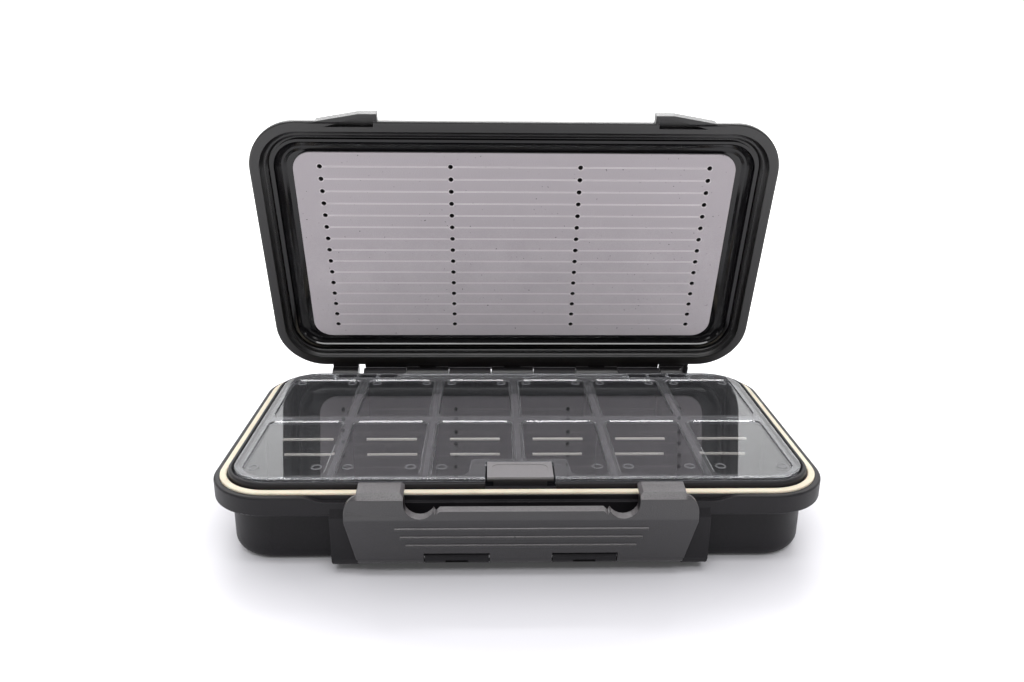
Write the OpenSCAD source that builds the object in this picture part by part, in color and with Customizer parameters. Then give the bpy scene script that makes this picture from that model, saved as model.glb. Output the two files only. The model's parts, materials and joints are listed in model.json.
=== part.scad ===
// Large waterproof fly box: a latched, gasketed case with a slit-foam lid and a
// clear sprung cover over twelve compartments.  Millimetres, +Z up, +Y to the
// hinge.  The origin is the middle of the underside of the base.

/* [Case] */
// Width of the flange, left to right
case_w = 196; // [180:1:220]
// Depth of the flange, latch to hinge
case_d = 108; // [100:1:125]
// Corner radius of the flange in plan
corner_r = 19.5; // [17:0.5:24]
// Height of the flange's top face above the table
base_h = 26.4; // [24:0.2:34]
// Wall thickness of the base
wall = 3; // [2:0.1:3.4]
// Thickness of the base's floor
floor_t = 2.2; // [1.6:0.1:4]
// How far the flange stands out past the sides of the base
flange_out_x = 4.5; // [4:0.1:6]
// How far the flange stands out past the front and back of the base
flange_out_y = 7; // [5:0.1:8]
// Radius of the rounded edge round the underside
foot_round = 4.5; // [2:0.1:6]
// Thickness of the flange plate
flange_t = 2.4; // [1.6:0.1:3]
// Height of the flange's down-turned skirt
skirt_h = 6.4; // [5:0.1:8]
// Thickness of the skirt
skirt_t = 2; // [1.4:0.1:2.4]
// Rounding of the skirt's outer edges
edge_r = 0.7; // [0.3:0.1:0.9]
// Spacing of the stiffening ribs under the flange
rib_pitch = 18; // [12:1:30]
// Thickness of those ribs
rib_t = 1.2; // [0.8:0.1:2]

/* [Seal] */
// Distance from the flange's edge to the seal
seal_inset = 1.9; // [1.6:0.1:2.4]
// Width of the seal
seal_w = 2.3; // [1.8:0.1:2.4]
// How far the seal stands above the flange
seal_proud = 0.8; // [0.5:0.1:1.2]
// Depth of the groove that holds the seal
seal_depth = 1; // [0.6:0.1:1.4]
// Gap between the seal and the upstand inside it
upstand_gap = 0.4; // [0.3:0.1:0.6]
// Thickness of the upstand round the opening
upstand_t = 1.6; // [1.2:0.1:2]
// Height of the upstand above the flange
upstand_h = 2.5; // [2:0.1:2.8]

/* [Compartments] */
// Number of compartments in a row
cells = 6; // [4:2:6]
// Thickness of the cross walls
divider_t = 1.6; // [1:0.1:2.4]
// Thickness of each leaf of the long middle wall
middle_leaf_t = 1.4; // [1:0.1:2]
// Outside thickness of the hollow middle wall
middle_w = 5.8; // [4:0.1:7]
// Depth of the rail behind the rear cells
rear_rail = 4.3; // [3:0.1:6]
// Width of the pale strips on the middle wall
strip_w = 18; // [12:0.1:24]
// Height of one pale strip
strip_h = 0.6; // [0.5:0.1:1.6]
// How far a strip stands off the middle wall
strip_proud = 1; // [0.6:0.1:1.6]
// Depth of the upper strip below the top of the walls
strip_drop = 5.4; // [4:0.1:8]
// Spacing of the two strips
strip_gap = 6; // [4:0.1:8]

/* [Clear cover] */
// Gap between the clear cover and the upstand
cover_gap = 0.3; // [0.2:0.05:0.4]
// Height of the cover's rim above the flange
cover_top = 3.1; // [2.9:0.1:3.3]
// Thickness of the cover's panels
panel_t = 1.3; // [1:0.1:1.6]
// How far the rim and the bars stand above the panels
bar_rise = 0.45; // [0.2:0.05:0.7]
// Width of the cover's raised rim
cover_rim_w = 2.4; // [1.8:0.1:3]
// Width of the bars between the cover's panels
bar_w = 3.2; // [2.5:0.1:5]
// Corner radius of the cover's panels
panel_r = 2.6; // [1.5:0.1:4]
// Width of the finger plate at the front
finger_w = 31; // [24:0.5:40]
// Depth of the finger plate
finger_d = 13.6; // [11:0.1:16]
// Width of the snap tongue
tongue_w = 20.8; // [16:0.1:24]
// Length of the snap tongue
tongue_l = 10.6; // [8:0.1:12]
// Width of the slits beside the tongue
tongue_slit = 0.6; // [0.4:0.05:1]
// Distance from each end of the cover to the middle of its hinge
cover_hinge_in = 32; // [28:0.5:36]
// Width of one cover hinge
cover_hinge_w = 27; // [24:0.5:30]
// Radius of the cover's hinge pins
cover_pin_r = 0.7; // [0.5:0.05:0.9]
// Wire thickness of the cover's springs
spring_wire = 0.6; // [0.4:0.05:0.8]
// Number of coils in a cover spring
spring_coils = 5; // [3:1:7]

/* [Lid] */
// How far the lid's edge stands in from the flange's edge
lid_inset = 0.5; // [0.2:0.1:0.8]
// Height of the lid above the parting plane
lid_h = 17.4; // [15:0.1:26]
// Thickness of the lid's lip, which the latch hooks over
lip_t = 2.5; // [2:0.1:3]
// Wall thickness of the lid
lid_wall = 2; // [1.6:0.1:2.6]
// How far the lip stands out past the lid's side walls
lip_out = 4.5; // [4.2:0.1:6]
// Rounding of the lid's top edge
lid_round = 6; // [3:0.1:8]
// Width of the rim face that closes on the seal
rim_w = 3.7; // [3.4:0.1:3.9]
// Depth of the step inside the rim face
rim_step = 1.9; // [1.8:0.1:2.2]
// Gap between the closed lid and the seal
close_gap = 0.2; // [0.1:0.05:0.4]
// Angle of the open lid, from closed
lid_open = 73; // [0:1:107]
// Reach of the latch guards in front of the lid
guard_reach = 5; // [3:0.1:6]
// Height of the latch guards
guard_h = 8; // [5:0.1:10]
// Distance from the middle to the steep end of a guard
guard_near = 49.6; // [49:0.1:52]
// Length of a guard's flat face
guard_flat = 8; // [4:0.1:12]
// Length of a guard's sloping face
guard_slope = 14; // [8:0.1:18]
// Wall thickness of a guard
guard_wall = 1.4; // [1:0.1:2]

/* [Foam] */
// Distance from the lid's sides to the slit foam
foam_in_x = 15.2; // [14.8:0.1:20]
// Distance from the lid's front and back to the slit foam
foam_in_y = 13; // [12.8:0.1:18]
// Thickness of the foam
foam_t = 5.4; // [4:0.1:6]
// Corner radius of the foam
foam_r = 7; // [4:0.1:10]
// Depth of the foam's face inside the parting plane
foam_sink = 3.6; // [3.2:0.1:6]
// Distance from the foam's front and back to the end rows of slits
row_margin = 5.5; // [4:0.1:8]
// Number of rows
rows = 15; // [9:1:16]
// Distance from the foam's sides to the end holes of a row
hole_margin = 9.85; // [6:0.05:20]
// Holes in a row
row_holes = 4; // [2:1:4]
// Radius of a hole
hole_r = 0.95; // [0.5:0.05:1.2]
// Width of a slit
slit_w = 0.3; // [0.2:0.05:0.5]
// Depth of a slit
slit_depth = 3; // [2:0.1:3.6]

/* [Hinge] */
// Radius of the hinge barrel
barrel_r = 2.6; // [2.2:0.1:3]
// Radius of the hinge pin
pin_r = 1; // [0.7:0.05:1.3]
// Height of the hinge axis below the flange's top face
axis_drop = 0.8; // [0.4:0.1:1.2]
// Clearance between the barrels and the flange
barrel_gap = 0.3; // [0.25:0.05:0.5]
// Gap between neighbouring knuckles
knuckle_gap = 0.35; // [0.3:0.05:0.5]
// Width of one knuckle
knuckle_w = 18; // [16:0.1:19]
// Length of the knuckles at the two ends
end_knuckle_w = 12.4; // [8:0.1:14]
// Gap beside the loose end of the pin
pin_end_gap = 2.3; // [1:0.1:3]
// Radial clearance of the pin in the turning knuckles
run_fit = 0.05; // [0.02:0.01:0.1]
// Radial clearance of the pin in the fixed knuckles
fixed_fit = 0.02; // [0.01:0.01:0.04]

/* [Latch] */
// Width of the latch at its foot
latch_foot_w = 100.4; // [90:0.2:102]
// How far the crease stands out past the foot at each side
latch_flare = 2.6; // [1:0.1:3.4]
// Width across the tops of the two arms
latch_top_w = 96.6; // [84:0.2:98]
// Width of one arm's hook
hook_w = 13.2; // [8:0.1:14]
// Width of the bar between the arms
centre_w = 51.2; // [40:0.2:54]
// How far the hooks reach over the lid's lip
hook_reach = 2.6; // [1.6:0.1:2.6]
// Thickness of a hook
hook_t = 1.8; // [1.2:0.1:2.2]
// Wall thickness of the latch
latch_t = 2.8; // [2:0.1:3]
// Height of the latch's pivot
latch_axis_z = 6.8; // [6.2:0.1:8]
// Radius of the latch's barrel
latch_barrel_r = 2.3; // [2:0.1:2.4]
// Radius of the latch's pin
latch_pin_r = 0.9; // [0.6:0.05:1.2]
// Distance from the middle to the inner end of a fixed knuckle
latch_knuckle_in = 9.9; // [6:0.1:12]
// Width of a fixed knuckle
latch_knuckle_w = 19.6; // [12:0.1:20]
// Height of the crease across the latch
crease_z = 23.6; // [20:0.1:24]
// How far the crease bulges in front of the foot
crease_out = 2.6; // [1:0.1:3]
// Lean of the released latch, outward from closed
latch_lean = 9; // [0:0.5:40]
// Width of the cheeks beside the latch's foot
cheek_w = 7.8; // [3:0.1:8]
// Height of the underside of the pad
pad_z = 2.8; // [2:0.1:4]

/* [Hidden] */
$fn = 48;
eps = 0.01;
overlap = 0.5;                                  // how far a swept edge runs into the block inside it
clear = 0.3;                                    // gap between pieces that move past each other

// Base
body_w = case_w - 2 * flange_out_x;
body_d = case_d - 2 * flange_out_y;
body_r = corner_r - flange_out_x;
well_w = body_w - 2 * wall;
well_d = body_d - 2 * wall;
well_r = body_r - wall;
front_y = -case_d / 2;
cell_pitch = (well_w - divider_t) / cells;
rear_wall_y = well_d / 2 - rear_rail;
upstand_in = seal_inset + seal_w + upstand_gap;  // edge to upstand, outside
cover_in = upstand_in + upstand_t + cover_gap;   // edge to clear cover
cover_w = case_w - 2 * cover_in;
cover_d = case_d - 2 * cover_in;
cover_r = corner_r - cover_in;
cover_hinge_x = cover_w / 2 - cover_hinge_in;

// Heights of the clear cover
cover_z = base_h + cover_top;
panel_z = cover_z - bar_rise - panel_t;
wall_top = panel_z - 0.2;

// Lid, as closed
parting_z = base_h + seal_proud + close_gap;
lid_w = case_w - 2 * lid_inset;
lid_d = case_d - 2 * lid_inset;
lid_r = corner_r - lid_inset;
lid_front = -lid_d / 2;
lip_z = parting_z + lip_t;
lid_top = parting_z + lid_h;

// Foam
foam_w = lid_w - 2 * foam_in_x;
foam_d = lid_d - 2 * foam_in_y;
row_pitch = (foam_d - 2 * row_margin) / (rows - 1);
hole_pitch = (foam_w - 2 * hole_margin) / (row_holes - 1);

// Hinge
axis_y = case_d / 2 + barrel_r + barrel_gap;
axis_z = base_h - axis_drop;

// Latch, as closed
latch_axis_y = front_y - 0.5;
latch_foot = latch_axis_z - latch_barrel_r;
hook_z = lip_z + clear;
latch_top = hook_z + hook_t;
latch_back = front_y - clear;
latch_w = latch_foot_w + 2 * latch_flare;
latch_in = guard_near - clear;                   // half width of the arms between the guards
cheek_x = latch_foot_w / 2 + clear + 0.1;
pad_half = cheek_x + cheek_w;

// Rounded rectangle about the origin
module round_rect(w, d, r) {
    square([w - 2 * r, d], center = true);
    square([w, d - 2 * r], center = true);
    for (x = [-1, 1], y = [-1, 1])
        translate([x * (w / 2 - r), y * (d / 2 - r)]) circle(r);
}

// Upright block with a rounded-rectangle plan between two heights
module block(w, d, r, z0, z1) {
    translate([0, 0, z0]) linear_extrude(z1 - z0) round_rect(w, d, r);
}

// Sweeps a profile round a rounded rectangle: its x runs out from the corner's centre
module sweep(w, d, r) {
    for (side = [0, 1]) {
        run = side == 0 ? d - 2 * r : w - 2 * r;
        off = side == 0 ? w / 2 - r : d / 2 - r;
        for (turn = [0, 180])
            rotate([0, 0, side * 90 + turn])
                translate([off, run / 2, 0]) rotate([90, 0, 0])
                    linear_extrude(run) children();
    }
    for (turn = [0:3]) {
        off = turn % 2 == 0 ? [w / 2 - r, d / 2 - r] : [d / 2 - r, w / 2 - r];
        rotate([0, 0, 90 * turn]) translate([off[0], off[1], 0])
            rotate_extrude(angle = 90) children();
    }
}

// Strip of a profile with rounded outer corners, its outer face at x = r
module edge_band(r, t, h, e) {
    translate([r - t, 0]) square([t - e, h]);
    translate([r - t, e]) square([t, h - 2 * e]);
    for (z = [e, h - e]) translate([r - e, z]) circle(e);
}

// Pocket with sides that slope out at 45 degrees, open above: w and d are its size at height h
module dish(w, d, r, z, h) {
    block(w - 2 * h, d - 2 * h, r - h, z, z + h + 1);
    translate([0, 0, z])
        sweep(w, d, r) polygon([[r - h - eps, 0], [r - h, 0], [r, h], [r, h + 1], [r - h - eps, h + 1]]);
}

// Round bar along X
module bar_x(x0, x1, y, z, r) {
    translate([x0, y, z]) rotate([0, 90, 0]) cylinder(h = x1 - x0, r = r);
}

// Prism along X from a profile drawn in Y and Z
module prism_x(x0, x1) {
    translate([x0, 0, 0]) rotate([90, 0, 90]) linear_extrude(x1 - x0) children();
}

// Prism along Y from an outline drawn in X and Z
module prism_y(y0, y1) {
    translate([0, y1, 0]) rotate([90, 0, 0]) linear_extrude(y1 - y0) children();
}

// Both sides of the case
module both_sides() {
    children();
    mirror([1, 0, 0]) children();
}

// Opens the lid from its closed place
module lid_pose() {
    translate([0, axis_y, axis_z]) rotate([-lid_open, 0, 0])
        translate([0, -axis_y, -axis_z]) children();
}

// Leans the latch out from its closed place
module latch_pose() {
    translate([0, latch_axis_y, latch_axis_z]) rotate([latch_lean, 0, 0])
        translate([0, -latch_axis_y, -latch_axis_z]) children();
}

// ---- Base ---------------------------------------------------------------

// Spans of the hinge knuckles: [start, end] on the right-hand side
function base_knuckles() = [for (k = [1, 3]) [(k - 0.5) * knuckle_w, (k + 0.5) * knuckle_w]];
hinge_end = 3.5 * knuckle_w;

module flange_ribs() {
    gap_x = flange_out_x - skirt_t;
    gap_y = flange_out_y - skirt_t;
    z0 = base_h - skirt_h + 1;
    nx = floor((body_w / 2 - body_r) / rib_pitch);
    ny = floor((body_d / 2 - body_r) / rib_pitch);
    for (i = [-nx:nx], s = [-1, 1])
        translate([i * rib_pitch - rib_t / 2, s > 0 ? body_d / 2 - eps : -body_d / 2 - gap_y - eps, z0])
            cube([rib_t, gap_y + 2 * eps, base_h - flange_t / 2 - z0]);
    for (i = [-ny:ny], s = [-1, 1])
        translate([s > 0 ? body_w / 2 - eps : -body_w / 2 - gap_x - eps, i * rib_pitch - rib_t / 2, z0])
            cube([gap_x + 2 * eps, rib_t, base_h - flange_t / 2 - z0]);
}

module base_body() {
    block(body_w, body_d, body_r, foot_round, base_h);
    block(body_w - 2 * foot_round, body_d - 2 * foot_round, body_r - foot_round, 0, foot_round + eps);
    sweep(body_w, body_d, body_r) {
        intersection() {
            translate([body_r - foot_round, foot_round]) circle(foot_round);
            translate([body_r - foot_round, 0]) square(foot_round);
        }
        translate([body_r - foot_round - overlap, 0]) square([overlap + eps, foot_round]);
    }
    block(case_w - 2 * edge_r, case_d - 2 * edge_r, corner_r - edge_r, base_h - flange_t, base_h);
    translate([0, 0, base_h - skirt_h])
        sweep(case_w, case_d, corner_r) edge_band(corner_r, skirt_t, skirt_h, edge_r);
    translate([0, 0, base_h - eps])
        sweep(case_w, case_d, corner_r)
            translate([corner_r - upstand_in - upstand_t, 0]) {
                square([upstand_t, upstand_h - upstand_t / 2]);
                translate([upstand_t / 2, upstand_h - upstand_t / 2]) circle(upstand_t / 2);
            }
    flange_ribs();
}

// Barrel and web of a fixed lid-hinge knuckle
module base_knuckle(span) {
    x0 = span[0] + knuckle_gap / 2;
    x1 = span[1] - knuckle_gap / 2;
    bar_x(x0, x1, axis_y, axis_z, barrel_r);
    prism_x(x0, x1)
        polygon([[case_d / 2 - skirt_t / 2, axis_z], [axis_y, axis_z], [axis_y, axis_z - barrel_r],
            [case_d / 2, base_h - skirt_h + edge_r + 0.4],
            [case_d / 2 - skirt_t / 2, base_h - skirt_h + edge_r]]);
}

// Pad that carries the latch, with a cheek at each end
module latch_pad() {
    pad_back = -body_d / 2 + eps;
    recess_y = latch_axis_y + latch_barrel_r + clear;
    skirt_z = base_h - skirt_h;
    prism_x(-pad_half, pad_half)
        polygon([[pad_back, pad_z], [recess_y, pad_z], [recess_y, skirt_z + 1], [pad_back, skirt_z + 1]]);
    edge_x = latch_w / 2 + clear + 0.2;             // cheek's inner face beside the crease
    both_sides()
        difference() {
            prism_x(cheek_x, pad_half)
                polygon([[pad_back, pad_z], [front_y + 1, pad_z], [front_y - 0.6, pad_z + 1.4],
                    [front_y - 1.2, pad_z + 3], [front_y - 1.2, skirt_z],
                    [front_y + edge_r, base_h - 2.2], [pad_back, base_h - 2.2]]);
            prism_y(front_y - 3, recess_y)
                polygon([[cheek_x - 1, pad_z - 1], [cheek_x, pad_z - 1], [cheek_x, latch_foot],
                    [edge_x, crease_z - 0.6], [edge_x, base_h], [cheek_x - 1, base_h]]);
        }
}

// Fixed knuckle of the latch pivot, with a moulding slot in its barrel
module latch_knuckle() {
    x0 = latch_knuckle_in;
    x1 = x0 + latch_knuckle_w;
    back = latch_axis_y + latch_barrel_r + clear + eps;
    slot_w = 7;
    difference() {
        union() {
            bar_x(x0, x1, latch_axis_y, latch_axis_z, latch_barrel_r);
            prism_x(x0, x1)
                polygon([[back, latch_foot], [latch_axis_y, latch_foot],
                    [latch_axis_y, latch_axis_z + latch_barrel_r], [back, latch_axis_z + latch_barrel_r]]);
        }
        translate([x0 + (latch_knuckle_w - slot_w) / 2, latch_axis_y - latch_barrel_r - 0.1, latch_axis_z - 1.5])
            cube([slot_w, 1.2, 1.1]);
    }
}

// Shallow dip in the flange's front edge for a fingertip under the lid
module finger_dip() {
    depth = 1.6;
    half = pad_half + 1;
    run = 8;
    prism_y(front_y - 1, front_y + seal_inset - 0.5)
        polygon(concat([[-half - run, base_h + 1], [-half - run, base_h]],
            [for (i = [1:7]) [-half - run + run * i / 8, base_h - depth * (1 - cos(180 * i / 8)) / 2]],
            [[-half, base_h - depth], [half, base_h - depth]],
            [for (i = [1:7]) [half + run * i / 8, base_h - depth * (1 + cos(180 * i / 8)) / 2]],
            [[half + run, base_h], [half + run, base_h + 1]]));
}

module base_shell() {
    color([0.2, 0.19, 0.21])
    difference() {
        union() {
            base_body();
            both_sides() {
                for (span = base_knuckles()) base_knuckle(span);
                latch_knuckle();
            }
            latch_pad();
        }
        block(well_w, well_d, well_r, floor_t, base_h + upstand_h + 1);
        translate([0, 0, base_h - seal_depth])
            sweep(case_w, case_d, corner_r)
                translate([corner_r - seal_inset - seal_w, 0]) square([seal_w, seal_depth + 1]);
        finger_dip();
        snap_slot();
        both_sides()
            translate([cover_hinge_x - cover_hinge_w / 2 - 0.2, well_d / 2 - 1, post_z - 0.2])
                cube([cover_hinge_w + 0.4, cover_axis_y + post_r + 0.3 - well_d / 2 + 1, base_h]);
        bar_x(-hinge_end - 1, hinge_end + 1, axis_y, axis_z, pin_r + fixed_fit);
        bar_x(-cheek_x, cheek_x, latch_axis_y, latch_axis_z, latch_pin_r + fixed_fit);
    }
}

// ---- Compartments ---------------------------------------------------------

insert_fit = 0.1;                               // drop-in gap of the insert
insert_w = well_w - 2 * insert_fit;
insert_front = -well_d / 2 + insert_fit;
insert_back = well_d / 2 - insert_fit;

module compartment_insert() {
    z0 = floor_t + eps;
    color([0.1, 0.1, 0.11])
    difference() {
        intersection() {
            union() {
                for (i = [1 - cells / 2:cells / 2 - 1])
                    translate([i * cell_pitch - divider_t / 2, insert_front, z0])
                        cube([divider_t, rear_wall_y - insert_front + eps, wall_top - z0]);
                translate([-insert_w / 2, -middle_w / 2, z0])
                    cube([insert_w, middle_w, wall_top - z0]);
                translate([-insert_w / 2, rear_wall_y, z0])
                    cube([insert_w, insert_back - rear_wall_y, wall_top - z0]);
            }
            block(insert_w, insert_back - insert_front, well_r - insert_fit, z0, wall_top);
        }
        // hollow of the long middle wall, open below
        for (i = [-cells / 2:cells / 2 - 1])
            translate([i * cell_pitch + divider_t, -middle_w / 2 + middle_leaf_t, z0 - 1])
                cube([cell_pitch - 2 * divider_t, middle_w - 2 * middle_leaf_t, wall_top - z0 - middle_leaf_t + 1]);
        both_sides() {
            hinge_pocket();
            // ends of the middle wall, under the cover's rim
            translate([cover_w / 2 - cover_rim_w - clear, -middle_w, base_h - 0.2])
                cube([cover_rim_w + 2, 2 * middle_w, cover_top]);
        }
        // room for the pressed tongue
        translate([-tongue_w / 2 - tongue_slit, insert_front - 1, wall_top - 1.2])
            cube([tongue_w + 2 * tongue_slit, tongue_root - insert_front + 2, 2]);
    }
    color([0.1, 0.1, 0.11]) both_sides() cover_posts();
}

module label_strips() {
    color([0.9, 0.86, 0.78])
    for (i = [-cells / 2:cells / 2 - 1], k = [0, 1])
        translate([(i + 0.5) * cell_pitch - strip_w / 2, -middle_w / 2 - strip_proud,
                wall_top - strip_drop - strip_h - k * strip_gap])
            cube([strip_w, strip_proud, strip_h]);
}

// ---- Seal -----------------------------------------------------------------

module seal_gasket() {
    side_gap = 0.05;
    w = seal_w - 2 * side_gap;
    h = seal_depth + seal_proud;
    bead = 0.5;
    color([0.95, 0.91, 0.83])
    translate([0, 0, base_h - seal_depth])
        sweep(case_w, case_d, corner_r)
            translate([corner_r - seal_inset - seal_w + side_gap, 0]) {
                square([w, h - bead]);
                translate([bead, 0]) square([w - 2 * bead, h]);
                for (x = [bead, w - bead]) translate([x, h - bead]) circle(bead);
            }
}

// ---- Clear cover ------------------------------------------------------------

spring_r = 1.5;                                 // outer radius of a cover spring
spring_w = 7;                                   // room for the spring in a cover hinge
cover_axis_y = cover_d / 2 - 3.3;
cover_axis_z = cover_z - 1.9;
panel_edge = 0.6;                               // how far the panels reach over the middle wall
window_w = (cover_hinge_w - spring_w) / 2 - 2.4;
window_x = (spring_w + window_w) / 2 + 1;       // middle of a window, from the hinge's middle
post_w = window_w - 2.2;
tongue_front = -cover_d / 2 + 1.2;
tongue_root = tongue_front + tongue_l;
tongue_t = 1.5;
tongue_z = cover_z - 0.2 - tongue_t;
snap_pivot_z = tongue_z + tongue_t / 2;
root_fit = 0.1;                                 // clearance round the tongue's root
catch_y = tongue_front - 0.25;                  // front wall of the catch pocket
catch_z = base_h - 0.5;                         // underside of the lip that holds the barb
catch_under = 0.4;                              // depth of the pocket's undercut

post_r = 1.5;                                   // half thickness of a pin post
post_z = base_h - 3;                            // foot of the posts, on the rear rail

// Posts on the insert that rise through the cover's windows and carry the pins
module cover_posts() {
    for (s = [-1, 1])
        translate([cover_hinge_x + s * window_x, 0, 0])
            difference() {
                prism_x(-post_w / 2, post_w / 2) {
                    translate([cover_axis_y, cover_axis_z]) circle(post_r);
                    translate([cover_axis_y - post_r, post_z]) square([2 * post_r, cover_axis_z - post_z]);
                }
                bar_x(-post_w, post_w, cover_axis_y, cover_axis_z, cover_pin_r + fixed_fit);
            }
}

// Room in the insert's top for the middle of each cover hinge
module hinge_pocket() {
    translate([cover_hinge_x - cover_hinge_w / 2, cover_axis_y - 2.6, wall_top - 1.4])
        cube([cover_hinge_w, 5.2, 3]);
}

// Outline of the finger plate, with sloping shoulders
module finger_outline(grow) {
    w = finger_w / 2 + grow;
    y0 = -cover_d / 2;
    polygon([[-w - 4, y0], [w + 4, y0], [w + 2.6, y0 + 1.6], [w + 0.6, y0 + 4.2], [w, y0 + finger_d - 1],
        [w - 1, y0 + finger_d + grow], [-w + 1, y0 + finger_d + grow], [-w, y0 + finger_d - 1],
        [-w - 0.6, y0 + 4.2], [-w - 2.6, y0 + 1.6]]);
}

// Slots through the cover beside and in front of the tongue, and round its root
module tongue_cut() {
    w = tongue_w / 2 + tongue_slit;
    translate([-w, -cover_d / 2 - 1, base_h - 1])
        cube([2 * w, tongue_root + cover_d / 2 + 1, cover_top + 3]);
    bar_x(-w, w, tongue_root, snap_pivot_z, tongue_t / 2 + root_fit);
}

// Finger room in the base's upstand, and the undercut pocket the tongue's barb snaps into
module snap_slot() {
    half = tongue_w / 2 + tongue_slit;
    floor_z = base_h - flange_t + 0.05;
    translate([-half, front_y + upstand_in - 0.2, base_h + 0.6])
        cube([2 * half, upstand_t + 0.4, upstand_h + 1]);
    translate([-half, catch_y, floor_z]) cube([2 * half, -well_d / 2 - catch_y + 1, flange_t + 1]);
    translate([-half, catch_y - catch_under, floor_z]) cube([2 * half, catch_under + 1, catch_z - floor_z]);
}

module cover_hinge_cut() {
    for (s = [-1, 1])
        translate([cover_hinge_x + s * window_x - window_w / 2, cover_axis_y - 2.1, base_h - 1])
            cube([window_w, 4.2, cover_top + 3]);
    translate([cover_hinge_x - spring_w / 2, cover_axis_y - 2.1, base_h - 1])
        cube([spring_w, 4.2, cover_top + 3]);
}

// Recesses over the compartments, left open by the bars, the middle band and the rim
module cover_panels() {
    rim = 2 * cover_rim_w;
    lows = [-cover_d / 2 + cover_rim_w, middle_w / 2 - panel_edge];
    highs = [-middle_w / 2 + panel_edge, rear_wall_y];
    z = panel_z + panel_t;
    intersection() {
        for (i = [-cells / 2:cells / 2 - 1], row = [0, 1]) {
            x0 = max(i * cell_pitch + bar_w / 2, -cover_w / 2 + cover_rim_w);
            x1 = min((i + 1) * cell_pitch - bar_w / 2, cover_w / 2 - cover_rim_w);
            translate([(x0 + x1) / 2, (lows[row] + highs[row]) / 2, 0])
                dish(x1 - x0, highs[row] - lows[row], panel_r, z, bar_rise);
        }
        dish(cover_w - rim, cover_d - rim, cover_r - cover_rim_w, z, bar_rise);
    }
}

module inner_cover() {
    color([0.75, 0.77, 0.8, 0.4])
    difference() {
        union() {
            block(cover_w - 2 * edge_r, cover_d - 2 * edge_r, cover_r - edge_r, panel_z, cover_z);
            // rim that stands on the flange
            translate([0, 0, base_h + 0.1])
                sweep(cover_w, cover_d, cover_r) edge_band(cover_r, cover_rim_w, cover_top - 0.1, edge_r);
            // webs that carry the hinge pins under the plate
            both_sides()
                for (x = cover_webs())
                    translate([cover_hinge_x + x, cover_axis_y, 0])
                        prism_x(-web_t / 2, web_t / 2) {
                            translate([0, cover_axis_z]) circle(1.35);
                            translate([-1.35, cover_axis_z]) square([2.7, panel_z + panel_t - cover_axis_z]);
                        }
        }
        difference() {
            cover_panels();
            translate([0, 0, panel_z]) linear_extrude(cover_top) finger_outline(0);
            both_sides() cover_dimples();
        }
        both_sides() {
            cover_hinge_cut();
            bar_x(cover_hinge_x - cover_hinge_w / 2 - 1, cover_hinge_x + cover_hinge_w / 2 + 1,
                cover_axis_y, cover_axis_z, cover_pin_r + run_fit);
        }
        tongue_cut();
    }
}

web_t = 0.9;                                    // thickness of the cover's pin webs
function cover_webs() = [for (s = [-1, 1], e = [-1, 1]) s * (window_x + e * (window_w + web_t) / 2)];

// Small round moulding marks in the corners of the panels
module cover_dimples() {
    for (i = [0:cells / 2 - 1], s = [-1, 1]) {
        x = (i + 0.5) * cell_pitch + s * (cell_pitch / 2 - 5);
        for (y = [insert_front + 5.4, rear_wall_y - 3])
            if (x > finger_w / 2 + 4 || y > 0)
                translate([x, y, panel_z + panel_t - eps]) difference() {
                    cylinder(h = 0.2, r = 1.7);
                    translate([0, 0, -1]) cylinder(h = 2, r = 1.3);
                }
    }
}

module cover_snap_tongue() {
    w = tongue_w / 2;
    color([0.62, 0.61, 0.62])
    difference() {
        union() {
            bar_x(-w, w, tongue_root, snap_pivot_z, tongue_t / 2);
            translate([-w, tongue_front, tongue_z]) cube([2 * w, tongue_root - tongue_front, tongue_t]);
            // leg with the barb that snaps under the lip of the pocket
            prism_x(-w + 2, w - 2)
                polygon([[tongue_front, tongue_z + eps], [tongue_front, catch_z - 0.1],
                    [tongue_front - 0.5, catch_z - 0.15], [tongue_front - 0.3, catch_z - 0.6],
                    [tongue_front + 0.3, catch_z - 0.75], [tongue_front + 0.9, catch_z - 0.6],
                    [tongue_front + 1.6, tongue_z + eps]]);
        }
        // bare shallow field on the finger face
        translate([0, tongue_front + tongue_l / 2, tongue_z + tongue_t - 0.2])
            linear_extrude(1) round_rect(tongue_w - 3, tongue_l - 3, 2.5);
    }
}

module cover_hinge_pin(side) {
    half = cover_hinge_w / 2 - 1;
    color([0.6, 0.6, 0.62])
    bar_x(side * cover_hinge_x - half, side * cover_hinge_x + half, cover_axis_y, cover_axis_z, cover_pin_r);
}

// Torsion spring round a cover pin: one unbroken wire with two straight legs
module cover_spring(side) {
    r = spring_r - spring_wire / 2;
    pitch = (spring_w - 1.6) / spring_coils;
    steps = 16;
    sides = 6;
    lead = 0.5;
    turn_path = [for (i = [0:steps * spring_coils])
        let (a = 360 * i / steps)
        [-spring_coils * pitch / 2 + pitch * i / steps, r * cos(a), r * sin(a)]];
    half = spring_coils * pitch / 2;
    path = concat([[-half, r, -lead - 1]], turn_path, [[half, r, lead + 0.6]]);
    color([0.25, 0.25, 0.27])
    translate([side * cover_hinge_x, cover_axis_y, cover_axis_z]) wire(path, spring_wire / 2, sides);
}

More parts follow.
